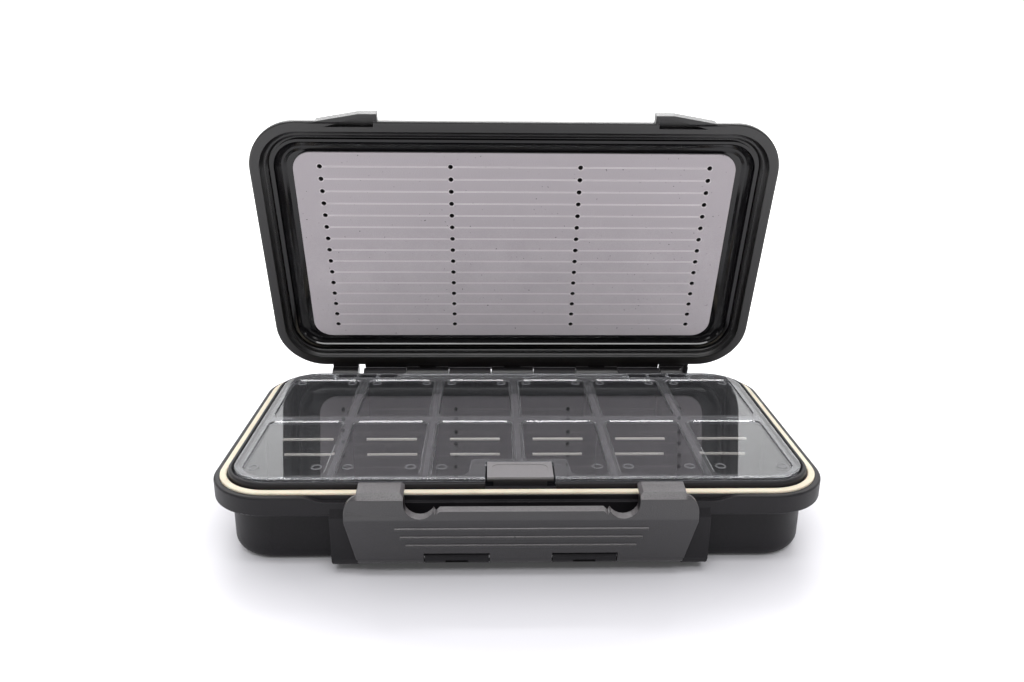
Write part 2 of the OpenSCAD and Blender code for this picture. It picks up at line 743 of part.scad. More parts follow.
// Tube of a few sides swept along a list of points
function unit(v) = v / norm(v);
function tangent(p, i) = unit(p[min(i + 1, len(p) - 1)] - p[max(i - 1, 0)]);
function ring(p, i, r, n) =
    let (t = tangent(p, i), u = unit(cross(t, [1, 0, 0] + 0.001 * [0, 1, 1])), v = cross(t, u))
    [for (k = [0:n - 1]) p[i] + r * (u * cos(360 * k / n) + v * sin(360 * k / n))];
module wire(p, r, n) {
    m = len(p);
    points = [for (i = [0:m - 1]) each ring(p, i, r, n)];
    sides = [for (i = [0:m - 2], k = [0:n - 1])
        let (a = i * n + k, b = i * n + (k + 1) % n)
        each [[a, b, b + n], [a, b + n, a + n]]];
    ends = concat([for (k = [1:n - 2]) [0, k + 1, k]],
        [for (k = [1:n - 2]) [(m - 1) * n, (m - 1) * n + k, (m - 1) * n + k + 1]]);
    polyhedron(points, [for (f = concat(sides, ends)) [f[0], f[2], f[1]]]);
}

// ---- Lid --------------------------------------------------------------------

shoulder_in = lid_inset + hook_reach + clear;   // edge to the shoulder behind the hooks
shoulder_h = 1.7;
dome_w = lid_w - 2 * lip_out;
dome_d = lid_d - 2 * lip_out;
dome_r = lid_r - lip_out;

module lid_body() {
    // lip with rounded edges
    translate([0, 0, parting_z])
        sweep(lid_w, lid_d, lid_r) edge_band(lid_r, rim_w, lip_t, edge_r);
    block(lid_w - 2 * rim_w + 1, lid_d - 2 * rim_w + 1, lid_r - rim_w + 0.5, parting_z + rim_step, lip_z);
    // shoulder, wall and crowned top
    block(lid_w - 2 * shoulder_in, lid_d - 2 * shoulder_in, lid_r - shoulder_in,
        lip_z - eps, lip_z + shoulder_h);
    block(dome_w, dome_d, dome_r, lip_z, lid_top - lid_round);
    block(dome_w - 2 * lid_round, dome_d - 2 * lid_round, dome_r - lid_round,
        lid_top - lid_round - eps, lid_top);
    translate([0, 0, lid_top - lid_round])
        sweep(dome_w, dome_d, dome_r) {
            intersection() {
                translate([dome_r - lid_round, 0]) circle(lid_round);
                translate([dome_r - lid_round, 0]) square(lid_round);
            }
            translate([dome_r - lid_round - overlap, 0]) square([overlap + eps, lid_round]);
        }
}

// Plan of one latch guard, set in by g
module guard_plan(g) {
    y0 = lid_front + 1;
    y1 = lid_front - guard_reach + g;
    polygon([[guard_near + g, y0], [guard_near + g, y1], [guard_near + guard_flat - g / 3, y1],
        [guard_near + guard_flat + guard_slope - 1.8 * g, lid_front],
        [guard_near + guard_flat + guard_slope - 1.8 * g, y0]]);
}

// Hollow wedge beside the latch, open on the parting side
module latch_guard() {
    z0 = parting_z + 0.2;
    difference() {
        translate([0, 0, z0]) linear_extrude(guard_h) guard_plan(0);
        translate([0, 0, z0 - 1]) linear_extrude(guard_h - guard_wall + 1)
            intersection() {
                guard_plan(guard_wall);
                translate([0, lid_front - 20]) square([case_w, 20 - 0.6]);
            }
    }
    // carries the guard back to the lid's wall above the lip
    translate([0, 0, lip_z - eps]) linear_extrude(guard_h - lip_t + 0.2)
        polygon([[guard_near, lid_front + lip_out + 0.5], [guard_near, lid_front + 0.5],
            [guard_near + guard_flat + guard_slope, lid_front + 0.5],
            [guard_near + guard_flat + guard_slope, lid_front + lip_out + 0.5]]);
}

// Turning knuckle of the lid hinge, with a moulding window in its web
module lid_knuckle(x0, x1, window) {
    web_y = axis_y - barrel_r + 0.15;
    difference() {
        union() {
            bar_x(x0, x1, axis_y, axis_z, barrel_r);
            prism_x(x0, x1)
                polygon([[lid_d / 2 - 1, parting_z + 0.2], [web_y, parting_z + 0.2],
                    [web_y, axis_z + 0.3], [axis_y + barrel_r - 0.4, axis_z + 1.2],
                    [axis_y + 0.6, lip_z], [lid_d / 2 - 1, lip_z]]);
        }
        if (window > 0)
            translate([(x0 + x1) / 2 - window / 2, lid_d / 2 + 0.4, parting_z - 1])
                cube([window, 1.3, lip_t + 3]);
    }
}

module lid_knuckles() {
    g = knuckle_gap / 2;
    w = knuckle_w;
    lid_knuckle(-w / 2 + g, w / 2 - g, 7);
    both_sides() lid_knuckle(1.5 * w + g, 2.5 * w - g, 7);
    // right-hand end, with a chamfered outer end
    difference() {
        lid_knuckle(hinge_end + g, hinge_end + end_knuckle_w, 0);
        translate([hinge_end + end_knuckle_w + 1.2, axis_y, axis_z - barrel_r - 0.8]) rotate([0, -40, 0])
            cube([4, 20, 12], center = true);
    }
    // left-hand end, past the open end of the pin's hole
    mirror([1, 0, 0])
        lid_knuckle(hinge_end + pin_end_gap, hinge_end + end_knuckle_w + 0.6, 0);
}

// Rail along the lid's back edge that closes over the fixed knuckles
module hinge_rail() {
    start = lid_d / 2 - 1;
    relief = barrel_r + barrel_gap;
    low = parting_z + 0.2;
    a0 = asin((low - axis_z) / relief);
    prism_x(-hinge_end + 0.5, hinge_end - 0.5)
        polygon(concat([[start, lip_z], [start, low]],
            [for (i = [0:6]) let (a = 180 - a0 - (80 - a0) * i / 6)
                [axis_y + relief * cos(a), axis_z + relief * sin(a)]],
            [[axis_y - 0.2, lip_z]]));
}

module lid_shell() {
    color([0.3, 0.28, 0.3])
    lid_pose()
        difference() {
            union() {
                lid_body();
                both_sides() latch_guard();
                lid_knuckles();
                hinge_rail();
            }
            // hollow for the liner, stepped at the rim
            block(dome_w - 2 * lid_wall, dome_d - 2 * lid_wall, dome_r - lid_wall,
                parting_z - 1, lid_top - lid_round);
            block(dome_w - 2 * lid_round, dome_d - 2 * lid_round, dome_r - lid_round,
                parting_z, lid_top - lid_wall);
            block(lid_w - 2 * rim_w, lid_d - 2 * rim_w, lid_r - rim_w, parting_z - 1, parting_z + rim_step);
            block(cover_w + 1, cover_d + 1, cover_r + 0.5, parting_z, cover_z + clear);
            bar_x(-hinge_end - 1, hinge_end + end_knuckle_w - 3, axis_y, axis_z, pin_r + run_fit);
        }
}

liner_fit = 0.1;
liner_in = lip_out + lid_wall + liner_fit;      // lid's edge to the liner's outside
ridge_h = 2.5;                                  // top of the ridge, inside the parting plane
liner_floor = foam_sink + foam_t;

module lid_liner() {
    // distances in from the lid's edge
    a = liner_in + 0.9;
    far = 12.8;
    depth = lid_h - lid_round - 0.6;
    color([0.05, 0.05, 0.06])
    lid_pose() {
        translate([0, 0, parting_z])
            sweep(lid_w, lid_d, lid_r)
                polygon(concat([[lid_r - liner_in, depth], [lid_r - liner_in, ridge_h + 0.9],
                    [lid_r - a, ridge_h + 0.9], [lid_r - a, ridge_h], [lid_r - a - 1, ridge_h]],
                    [for (t = [0:15:90])
                        [lid_r - a - 1 - 3.2 * (1 - cos(t)), ridge_h + 2.2 * sin(t)]],
                    [[lid_r - far, ridge_h + 2.4], [lid_r - far, ridge_h + 4.2],
                    [lid_r - a - 1.4, ridge_h + 4.2], [lid_r - a - 1.4, depth]]));
        difference() {
            block(lid_w - 2 * far + 1, lid_d - 2 * far + 5, foam_r + 1.4, parting_z + ridge_h + 2.4,
                parting_z + liner_floor + 1.2);
            block(foam_w + 2 * liner_fit, foam_d + 2 * liner_fit, foam_r + liner_fit,
                parting_z, parting_z + liner_floor);
        }
    }
}

module slit_foam() {
    z0 = parting_z + foam_sink;
    first = -(rows - 1) * row_pitch / 2;
    span = (row_holes - 1) * hole_pitch;
    color([0.63, 0.6, 0.63])
    lid_pose()
        difference() {
            block(foam_w, foam_d, foam_r, z0, z0 + foam_t - 0.02);
            for (k = [0:rows - 1])
                translate([0, first + k * row_pitch, 0]) {
                    translate([-span / 2, -slit_w / 2, z0 - 1]) cube([span, slit_w, slit_depth + 1]);
                    for (j = [0:row_holes - 1])
                        translate([-span / 2 + j * hole_pitch, 0, z0 - 1])
                            cylinder(h = slit_depth + 1, r = hole_r, $fn = 16);
                }
        }
}

module lid_hinge_pin() {
    color([0.6, 0.6, 0.62])
    bar_x(-hinge_end + knuckle_gap, hinge_end + end_knuckle_w - 3.4, axis_y, axis_z, pin_r);
}

// ---- Latch --------------------------------------------------------------------

// Side profile: foot, bulging crease, upright neck, chamfered top edge and hook, drawn closed
module latch_profile() {
    f = latch_axis_y - latch_barrel_r;
    bulge = f - crease_out;
    chamfer = 1.7;
    top_front = f + 0.5;
    hook_back = lid_front + hook_reach;
    polygon([[f + 0.2, latch_axis_z], [bulge + 0.06, crease_z - 0.4], [bulge + 0.06, crease_z + 0.4],
        [top_front - chamfer, latch_top - chamfer], [top_front, latch_top],
        [hook_back - 0.3, latch_top], [hook_back, latch_top - 0.3], [hook_back, hook_z],
        [latch_back, hook_z], [latch_back, hook_z - 1], [bulge + latch_t + 0.6, hook_z - 2.6],
        [bulge + latch_t, crease_z], [f + latch_t + 0.2, latch_axis_z]]);
}

// Front outline: foot, wide crease, shoulders that step in between the guards, two arms
function arc_points(c, r, a0, a1, n) = [for (i = [0:n])
    let (a = a0 + (a1 - a0) * i / n) [c[0] + r * cos(a), c[1] + r * sin(a)]];
function latch_half() =
    let (foot = latch_foot_w / 2, wide = latch_w / 2, top = latch_top_w / 2, arm = top - hook_w,
        bar = centre_w / 2, bar_z = base_h + 0.4, scoop_r = (arm - bar) / 2, scoop_z = crease_z + 0.8 + scoop_r,
        step_z = parting_z - 2.2, step_r = wide - latch_in, side_r = latch_in - top)
    concat([[foot, 0], [foot, latch_foot], [wide, crease_z - 0.6]],
        [for (a = [0:15:90]) [latch_in + step_r * cos(a), step_z + (parting_z - step_z) * sin(a)]],
        [for (a = [0:30:90]) [top + side_r * cos(a), latch_top - 1.7 + 1.7 * sin(a)]],
        [[arm + 1, latch_top], [arm, latch_top - 1]],
        arc_points([(arm + bar) / 2, scoop_z], scoop_r, 0, -150, 10),
        [[bar, bar_z - 1.2], [bar - 1.2, bar_z]]);
module latch_outline() {
    half = latch_half();
    polygon(concat(half, [for (i = [len(half) - 1:-1:0]) [-half[i][0], half[i][1]]]));
}

// Turning barrel of the latch between two ends
module latch_barrel(x0, x1) {
    bar_x(x0, x1, latch_axis_y, latch_axis_z, latch_barrel_r);
}

module latch_plate() {
    foot = latch_foot_w / 2;
    k0 = latch_knuckle_in - knuckle_gap;
    k1 = latch_knuckle_in + latch_knuckle_w + knuckle_gap;
    rib_end = centre_w / 2 + 12.5;
    rib_gap = 3.6;
    color([0.28, 0.27, 0.29])
    latch_pose()
        difference() {
            union() {
                intersection() {
                    prism_x(-latch_w, latch_w) latch_profile();
                    prism_y(front_y - 20, front_y + 10) latch_outline();
                }
                latch_barrel(-k0, k0);
                both_sides() latch_barrel(k1, foot);
                // grip ribs on the lower face
                for (k = [0:2]) {
                    z = crease_z - 3.3 - rib_gap * k;
                    y = latch_axis_y - latch_barrel_r - crease_out * (z - latch_axis_z) / (crease_z - latch_axis_z);
                    half = rib_end - 1.5 * k;
                    bar_x(-half, half, y + 0.15, z, 0.6);
                }
            }
            // room for the fixed knuckles
            both_sides()
                translate([k0, latch_axis_y - 5, latch_foot - 1])
                    cube([k1 - k0, 12, 2 * latch_barrel_r + 1 + 0.5]);
            bar_x(-foot - 1, foot + 1, latch_axis_y, latch_axis_z, latch_pin_r + run_fit);
        }
}

module latch_pin() {
    half = latch_foot_w / 2 - 0.4;
    color([0.6, 0.6, 0.62])
    bar_x(-half, half, latch_axis_y, latch_axis_z, latch_pin_r);
}

base_shell();
compartment_insert();
label_strips();
seal_gasket();
inner_cover();
cover_snap_tongue();
cover_hinge_pin(-1);  // cover_hinge_pin_left
cover_hinge_pin(1);  // cover_hinge_pin_right
cover_spring(-1);  // cover_spring_left
cover_spring(1);  // cover_spring_right
lid_shell();
lid_liner();
slit_foam();
lid_hinge_pin();
latch_plate();
latch_pin();
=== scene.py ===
"""Large waterproof fly box: the looks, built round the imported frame.

Lengths in the dataclasses are in millimetres, unless their note says metres. Every mesh
ends up in metres in the part's own frame: +Z up, +Y towards the hinge, and the origin
under the middle of the base.
"""

import json
import logging
import math
from contextlib import contextmanager
from dataclasses import dataclass
from enum import Enum
from typing import Callable, Iterator

import bmesh
import bpy
from mathutils import Matrix, Vector

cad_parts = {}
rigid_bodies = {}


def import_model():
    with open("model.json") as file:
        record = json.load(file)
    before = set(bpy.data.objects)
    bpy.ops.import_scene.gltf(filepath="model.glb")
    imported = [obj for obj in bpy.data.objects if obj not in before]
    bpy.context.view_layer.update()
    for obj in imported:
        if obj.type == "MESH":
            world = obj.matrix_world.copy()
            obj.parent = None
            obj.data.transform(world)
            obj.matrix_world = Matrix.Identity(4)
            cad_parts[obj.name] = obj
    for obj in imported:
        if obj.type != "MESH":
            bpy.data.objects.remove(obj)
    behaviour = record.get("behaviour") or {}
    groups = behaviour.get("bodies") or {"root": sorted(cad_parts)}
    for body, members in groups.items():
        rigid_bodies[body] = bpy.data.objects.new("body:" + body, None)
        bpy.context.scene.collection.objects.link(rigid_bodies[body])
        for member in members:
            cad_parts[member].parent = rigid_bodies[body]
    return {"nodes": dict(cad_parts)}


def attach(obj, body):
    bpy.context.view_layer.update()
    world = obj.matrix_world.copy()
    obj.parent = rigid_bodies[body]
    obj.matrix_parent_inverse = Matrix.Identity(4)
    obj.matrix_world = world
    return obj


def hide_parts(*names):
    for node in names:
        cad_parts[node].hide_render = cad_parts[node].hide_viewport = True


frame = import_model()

LOG = logging.getLogger("fly_box")
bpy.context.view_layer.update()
MM = 0.001
FOAM_FACE_Z = 31.0  # height of the foam's face with the lid closed

Triple = tuple[float, float, float]
Rgb = Triple
Rgba = tuple[float, float, float, float]
Pair = tuple[float, float]
Outline = list[Pair]
Span = tuple[float, float, float, float]  # two ends of a range, and what they become
Socket = bpy.types.NodeSocket


class Role(Enum):
    """Which moving body of the case a piece belongs to."""

    LID = "lid"
    LATCH = "latch"


def linear(colour: Rgb) -> Rgba:
    """Turns a display colour into the linear one that a shader takes.

    Args:
        colour: red, green and blue from 0 to 255.

    Returns:
        Linear red, green and blue, and an alpha of 1.
    """
    parts = [part / 255.0 for part in colour]
    steps = [c / 12.92 if c <= 0.04045 else ((c + 0.055) / 1.055) ** 2.4 for c in parts]
    return (steps[0], steps[1], steps[2], 1.0)


def toned(colour: Rgb, factor: float) -> Rgb:
    """Makes a display colour darker or paler by a factor."""
    return tuple(min(255.0, part * factor) for part in colour)


def placed(name: str, data: bpy.types.ID) -> bpy.types.Object:
    """Puts a mesh, a lamp or a camera into the scene.

    Args:
        name: the new object's name.
        data: what it holds.

    Returns:
        The object, at the origin.
    """
    made = bpy.data.objects.new(name, data)
    bpy.context.scene.collection.objects.link(made)
    return made


def applied(holder: bpy.types.Object) -> bpy.types.Mesh:
    """Runs an object's modifiers once and keeps the result as its plain mesh.

    Args:
        holder: the object.

    Returns:
        Its new mesh.
    """
    graph = bpy.context.evaluated_depsgraph_get()
    graph.update()
    mesh = bpy.data.meshes.new_from_object(holder.evaluated_get(graph), depsgraph=graph)
    holder.modifiers.clear()
    holder.data = mesh
    return mesh


@contextmanager
def edited(mesh: bpy.types.Mesh) -> Iterator[bmesh.types.BMesh]:
    """Opens a mesh for editing, and writes it back at the end.

    Args:
        mesh: the mesh.

    Yields:
        Its editable form.
    """
    form = bmesh.new()
    form.from_mesh(mesh)
    yield form
    form.to_mesh(mesh)
    form.free()


# ---- Node trees ----


class Draft:
    """A node tree as it is written."""

    def __init__(self, tree: bpy.types.NodeTree) -> None:
        """Takes up a tree."""
        self.tree = tree

    def node(self, kind: str, links: dict[str | int, object] | None = None,
             **settings: object) -> bpy.types.Node:
        """Adds a node, sets it and fills its inputs.

        Args:
            kind: the node's type name.
            links: a socket or a value for each input, by name or number.
            settings: attributes of the node, set first.

        Returns:
            The node.
        """
        made = self.tree.nodes.new(kind)
        for key, value in settings.items():
            setattr(made, key, value)
        for key, value in (links or {}).items():
            self.plug(value, made.inputs[key])
        return made

    def plug(self, value: object, slot: Socket) -> None:
        """Links a socket to an input, or sets the input to a plain value.

        Args:
            value: the socket or the value.
            slot: the input.
        """
        if isinstance(value, bpy.types.NodeSocket):
            self.tree.links.new(value, slot)
        else:
            slot.default_value = value

    def sums(self, kind: str, first: Socket | float, second: Socket | float) -> Socket:
        """Adds one arithmetic step, named as the Math node names it."""
        return self.node("ShaderNodeMath", {0: first, 1: second}, operation=kind).outputs[0]


class ShaderDraft(Draft):
    """The nodes of one material, placed by object coordinates in metres."""

    EDGE_RAYS = 6
    EDGE_TURN: Span = (0.99, 0.75, 0.0, 1.0)
    NOISE_MIDDLE: Pair = (0.3, 0.7)

    def __init__(self, name: str) -> None:
        """Starts a material with its output and a Principled shader.

        Args:
            name: the material's name.
        """
        self.material = bpy.data.materials.new(name)
        self.material.use_nodes = True
        super().__init__(self.material.node_tree)
        self.tree.nodes.clear()
        self.output = self.node("ShaderNodeOutputMaterial")
        self.surface = self.node("ShaderNodeBsdfPrincipled")
        self.plug(self.surface.outputs["BSDF"], self.output.inputs["Surface"])
        self.place = self.node("ShaderNodeTexCoord").outputs["Object"]

    def coat(self, **values: object) -> None:
        """Sets or links the shader's own inputs by name, with _ for a space."""
        for key, value in values.items():
            self.plug(value, self.surface.inputs[key.replace("_", " ")])

    def height(self) -> Socket:
        """Gives the Z of the object coordinates."""
        return self.node("ShaderNodeSeparateXYZ", {0: self.place}).outputs["Z"]

    def noise(self, grain: float, detail: float = 3.0, rough: float = 0.55,
              stretch: Triple | None = None) -> Socket:
        """Adds smooth noise whose features are about one grain wide.

        Args:
            grain: feature size in millimetres.
            detail: octaves.
            rough: how strong the finer octaves are.
            stretch: factors on the coordinates, for drawn grain.

        Returns:
            The noise from 0 to 1.
        """
        source = self.place
        if stretch is not None:
            mapping = self.node("ShaderNodeMapping", {"Vector": source, "Scale": stretch})
            source = mapping.outputs["Vector"]
        return self.node("ShaderNodeTexNoise", {
            "Vector": source, "Scale": 1.0 / (grain * MM), "Detail": detail,
            "Roughness": rough}, noise_dimensions="3D").outputs["Fac"]

    def cells(self, grain: float) -> Socket:
        """Gives the distance to the nearest centre of cells of a size in millimetres."""
        return self.node("ShaderNodeTexVoronoi", {
            "Vector": self.place, "Scale": 1.0 / (grain * MM)}, feature="F1").outputs["Distance"]

    def span(self, source: Socket, low: float, high: float, to_low: float,
             to_high: float) -> Socket:
        """Maps one range of a value onto another, held at its ends.

        Args:
            source: the value.
            low: start of the range read.
            high: end of the range read.
            to_low: what the start becomes.
            to_high: what the end becomes.

        Returns:
            The mapped value.
        """
        return self.node("ShaderNodeMapRange", {
            "Value": source, "From Min": low, "From Max": high, "To Min": to_low,
            "To Max": to_high}).outputs["Result"]

    def spread(self, noise: Socket, to_low: float, to_high: float) -> Socket:
        """Maps the middle of a noise, where most of its values lie, onto a range."""
        return self.span(noise, *self.NOISE_MIDDLE, to_low, to_high)

    def blend(self, share: Socket, low: Socket | Rgba, high: Socket | Rgba) -> Socket:
        """Mixes two linear colours: a share of 0 gives the first, and 1 the second."""
        mix = self.node("ShaderNodeMix", {0: share, 6: low, 7: high}, data_type="RGBA")
        return mix.outputs[2]

    def layer(self, share: Socket, low: Socket, high: Socket) -> Socket:
        """Mixes two shaders: a share of 0 gives the first, and 1 the second."""
        return self.node("ShaderNodeMixShader", {0: share, 1: low, 2: high}).outputs["Shader"]

    def relief(self, height: Socket, depth: float, under: Socket | None = None) -> Socket:
        """Turns a height into a normal.

        Args:
            height: 0 to 1.
            depth: what 1 stands for, in millimetres.
            under: a normal to start from.

        Returns:
            The bumped normal.
        """
        links = {"Height": height, "Distance": depth * MM, "Strength": 1.0}
        if under is not None:
            links["Normal"] = under
        return self.node("ShaderNodeBump", links).outputs["Normal"]

    def eased(self, radius: float) -> tuple[Socket, Socket]:
        """Eases sharp edges in the shading.

        Args:
            radius: how far from an edge the easing starts, in millimetres.

        Returns:
            The eased normal, and a share that is 0 on flats and 1 on sharp outer edges.
        """
        bevel = self.node("ShaderNodeBevel", {"Radius": radius * MM}, samples=self.EDGE_RAYS)
        flat = self.node("ShaderNodeNewGeometry").outputs["Normal"]
        match = self.node("ShaderNodeVectorMath", {0: bevel.outputs["Normal"], 1: flat},
                          operation="DOT_PRODUCT")
        return bevel.outputs["Normal"], self.span(match.outputs["Value"], *self.EDGE_TURN)


class FieldTree(Draft):
    """A Geometry Nodes tree with named inputs."""

    def __init__(self, name: str) -> None:
        """Starts a tree whose one output is geometry.

        Args:
            name: the tree's name.
        """
        super().__init__(bpy.data.node_groups.new(name, "GeometryNodeTree"))
        self.tree.interface.new_socket("Geometry", in_out="OUTPUT",
                                       socket_type="NodeSocketGeometry")
        self.given = self.node("NodeGroupInput")
        self.out = self.node("NodeGroupOutput")
        self.ids: dict[str, str] = {}

    def ask(self, name: str, kind: str = "NodeSocketFloat") -> Socket:
        """Adds a named input.

        Args:
            name: the input's name.
            kind: its socket type.

        Returns:
            The socket inside the tree.
        """
        made = self.tree.interface.new_socket(name, in_out="INPUT", socket_type=kind)
        self.ids[name] = made.identifier
        return self.given.outputs[name]

    def made(self, kind: str, links: dict[str | int, object], **settings: object) -> Socket:
        """Adds a geometry node and gives its first output."""
        return self.node("GeometryNode" + kind, links, **settings).outputs[0]

    def vector(self, x: Socket | float = 0.0, y: Socket | float = 0.0,
               z: Socket | float = 0.0) -> Socket:
        """Joins three numbers into a vector."""
        return self.node("ShaderNodeCombineXYZ", {0: x, 1: y, 2: z}).outputs[0]

    def together(self, *parts: Socket) -> Socket:
        """Joins geometries.

        Args:
            parts: the geometries, in order.

        Returns:
            All of them as one.
        """
        made = self.node("GeometryNodeJoinGeometry")
        for part in parts:
            self.plug(part, made.inputs[0])
        return made.outputs[0]

    def moved(self, geometry: Socket, up: Socket) -> Socket:
        """Moves a geometry along Z."""
        return self.made("Transform", {"Geometry": geometry, "Translation": self.vector(z=up)})

    def finish(self, geometry: Socket, material: Socket) -> None:
        """Ends the tree with Realize Instances and Set Material."""
        real = self.made("RealizeInstances", {0: geometry})
        self.plug(self.made("SetMaterial", {"Geometry": real, "Material": material}),
                  self.out.inputs[0])

    def bake(self, name: str, values: dict[str, object]) -> bpy.types.Object:
        """Runs the tree once and keeps the result as a plain mesh.

        Args:
            name: the new object's name.
            values: a value for each named input, lengths in metres.

        Returns:
            An object at the origin with no modifier.
        """
        holder = placed(name, bpy.data.meshes.new(name + "_seed"))
        modifier = holder.modifiers.new("build", "NODES")
        modifier.node_group = self.tree
        for key, value in values.items():
            modifier[self.ids[key]] = value
        applied(holder).name = name
        return holder


# ---- Finishes ----


@dataclass(frozen=True)
class Finish:
    """What every finish has.

    Attributes:
        name: the material's name.
    """

    name: str

    def material(self) -> bpy.types.Material:
        """Builds the material.

        Returns:
            The material, as the kind of finish writes it.
        """
        draft = ShaderDraft(self.name)
        self.write(draft)
        return draft.material

    def write(self, draft: ShaderDraft) -> None:
        """Writes the finish's nodes, each kind of finish in its own way."""
        raise NotImplementedError(self.name)


@dataclass(frozen=True)
class MouldedPlastic(Finish):
    """Moulded plastic with a spark-eroded or satin face, painted paler along its edges, partly as
    rubbing and partly as highlight.

    Attributes:
        dark, light: display colours in the hollows of the grain and on its tops.
        grain, depth: size and depth of the grain.
        gloss: roughness from the smoothest to the dullest patch.
        mottle: size of the slow variation.
        shine: Specular IOR Level.
        edge: radius of the eased edges.
        edge_wear_and_highlight, edge_wear_and_highlight_share: display colour of the edges, paler
        partly from rubbing and partly as painted highlight, and its least and greatest share.
        painted_sheen: display colour of a painted sheen on faces that look up at rest, or None.
        tops, patches: what the grain and the slow variation give to the paler colour.
        lean, sheen_breakup: how a face's upward lean becomes painted sheen, and how grain breaks it
            up.
    """

    dark: Rgb
    light: Rgb
    grain: float
    depth: float
    gloss: Pair
    mottle: float = 14.0
    shine: float = 0.5
    edge: float = 0.3
    edge_wear_and_highlight: Rgb = (84, 81, 85)
    edge_wear_and_highlight_share: Pair = (0.2, 0.9)
    painted_sheen: Rgb | None = None
    tops: Span = (0.35, 0.7, 0.0, 0.55)
    patches: Span = (0.35, 0.7, 0.0, 0.45)
    lean: Span = (0.2, 0.55, 0.0, 1.0)
    sheen_breakup: Span = (0.3, 0.65, 0.5, 1.2)

    def write(self, draft: ShaderDraft) -> None:
        """Writes grain, slow mottling, edges painted paler as rubbing and highlight, and a painted
        sheen on faces that look up.

        Args:
            draft: the material.
        """
        normal, edges = draft.eased(self.edge)
        grain = draft.noise(self.grain, detail=2.0, rough=0.6)
        slow = draft.noise(self.mottle, detail=4.0, rough=0.6)
        share = draft.sums("ADD", draft.span(grain, *self.tops), draft.span(slow, *self.patches))
        colour = draft.blend(share, linear(self.dark), linear(self.light))
        # Edges painted paler: partly rubbing, partly painted highlight.
        colour = draft.blend(draft.sums("MULTIPLY", edges, draft.spread(slow, *self.edge_wear_and_highlight_share)),
                             colour, linear(self.edge_wear_and_highlight))
        # Painted sheen: faces that look up at rest are painted paler, as if lit from above.
        if self.painted_sheen is not None:
            facing = draft.node("ShaderNodeTexCoord").outputs["Normal"]
            upward = draft.node("ShaderNodeSeparateXYZ", {0: facing}).outputs["Z"]
            sheen_share = draft.sums("MULTIPLY", draft.span(upward, *self.lean),
                                draft.span(grain, *self.sheen_breakup))
            colour = draft.blend(sheen_share, colour, linear(self.painted_sheen))
        draft.coat(Base_Color=colour, Roughness=draft.spread(slow, *self.gloss),
                   Normal=draft.relief(grain, self.depth, under=normal),
                   Specular_IOR_Level=self.shine)


@dataclass(frozen=True)
class GlossPlastic(Finish):
    """Polished black plastic with faint waviness and dust.

    Attributes:
        colour: display colour of the plastic.
        roughness: of its clean faces.
        wave, waves: depth and width of the waviness.
        specks, thin: size of the dust, and how its noise becomes specks.
        dull: roughness that the dust adds.
        shine: Specular IOR Level.
    """

    colour: Rgb
    roughness: float = 0.08
    wave: float = 0.06
    waves: float = 18.0
    specks: float = 0.5
    thin: Span = (0.68, 0.76, 0.0, 1.0)
    dull: float = 0.12
    ior: float = 1.53
    shine: float = 0.36

    def write(self, draft: ShaderDraft) -> None:
        """Writes the waviness and the dust.

        Args:
            draft: the material.
        """
        slow = draft.noise(self.waves, detail=2.0)
        dust = draft.span(draft.noise(self.specks, detail=1.0), *self.thin)
        base = linear(self.colour)
        dusty = tuple(min(1.0, part * 2.2 + 0.01) for part in base[:3]) + (1.0,)
        rough = draft.sums("ADD", draft.spread(slow, self.roughness, self.roughness * 1.8),
                           draft.sums("MULTIPLY", dust, self.dull))
        draft.coat(Base_Color=draft.blend(dust, base, dusty), Roughness=rough,
                   Normal=draft.relief(slow, self.wave), IOR=self.ior,
                   Specular_IOR_Level=self.shine)


@dataclass(frozen=True)
class ClearMoulding(Finish):
    """Clear polished plastic that lets the lamps reach what is behind it.

    Attributes:
        tint: display colour that white turns to behind it.
        haze_and_highlight: display colour of its dust and hairline scratches, and of the painted
        highlight along its edges.
        haze, raised, edges: share of that colour on the flat sheet, on the raised bars and the
        rim, and along the sharp edges, where it is a painted highlight.
        bar_z, step: height from which the moulding counts as raised, give or take a step.
        edge: radius of the eased edges.
        scratch: how fine noise breaks that colour up on the sheet and the bars.
        roughness, dull: roughness of the polished faces and of the haze and painted highlight.
    """

    tint: Rgb
    haze_and_highlight: Rgb = (196, 196, 200)
    haze: float = 0.02
    raised: float = 0.1
    edges: float = 0.6
    bar_z: float = 29.2
    step: float = 0.05
    edge: float = 0.25
    scratch: Span = (0.3, 0.75, 0.6, 1.5)
    roughness: float = 0.015
    dull: float = 0.55
    ior: float = 1.54

    def write(self, draft: ShaderDraft) -> None:
        """Writes clear plastic under haze and painted highlight, which casts only a tinted shadow.

        Args:
            draft: the material.
        """
        slow = draft.noise(22.0, detail=2.0)
        tint = draft.blend(draft.spread(slow, 0.0, 1.0), linear(self.tint),
                           linear(toned(self.tint, 0.985)))
        draft.coat(Base_Color=tint, Normal=draft.relief(slow, 0.03), Roughness=self.roughness,
                   IOR=self.ior, Transmission_Weight=1.0)
        normal, edges = draft.eased(self.edge)
        # The paler layer: dust and scratches on the sheet, and a painted highlight along the sharp
        # edges.
        dust = draft.node("ShaderNodeBsdfPrincipled", {
            "Base Color": linear(self.haze_and_highlight), "Roughness": self.dull, "Normal": normal})
        fine = draft.noise(0.8, detail=4.0, rough=0.7)
        flat = draft.span(draft.height(), (self.bar_z - self.step) * MM,
                          (self.bar_z + self.step) * MM, self.haze, self.raised)
        flat = draft.sums("MULTIPLY", flat, draft.span(fine, *self.scratch))
        share = draft.sums("MAXIMUM", flat, draft.sums("MULTIPLY", edges, self.edges))
        hazed_and_highlit = draft.layer(share, draft.surface.outputs["BSDF"], dust.outputs["BSDF"])
        through = draft.node("ShaderNodeBsdfTransparent", {"Color": linear(self.tint)})
        shadow = draft.node("ShaderNodeLightPath").outputs["Is Shadow Ray"]
        draft.plug(draft.layer(shadow, hazed_and_highlit, through.outputs["BSDF"]),
                   draft.output.inputs["Surface"])


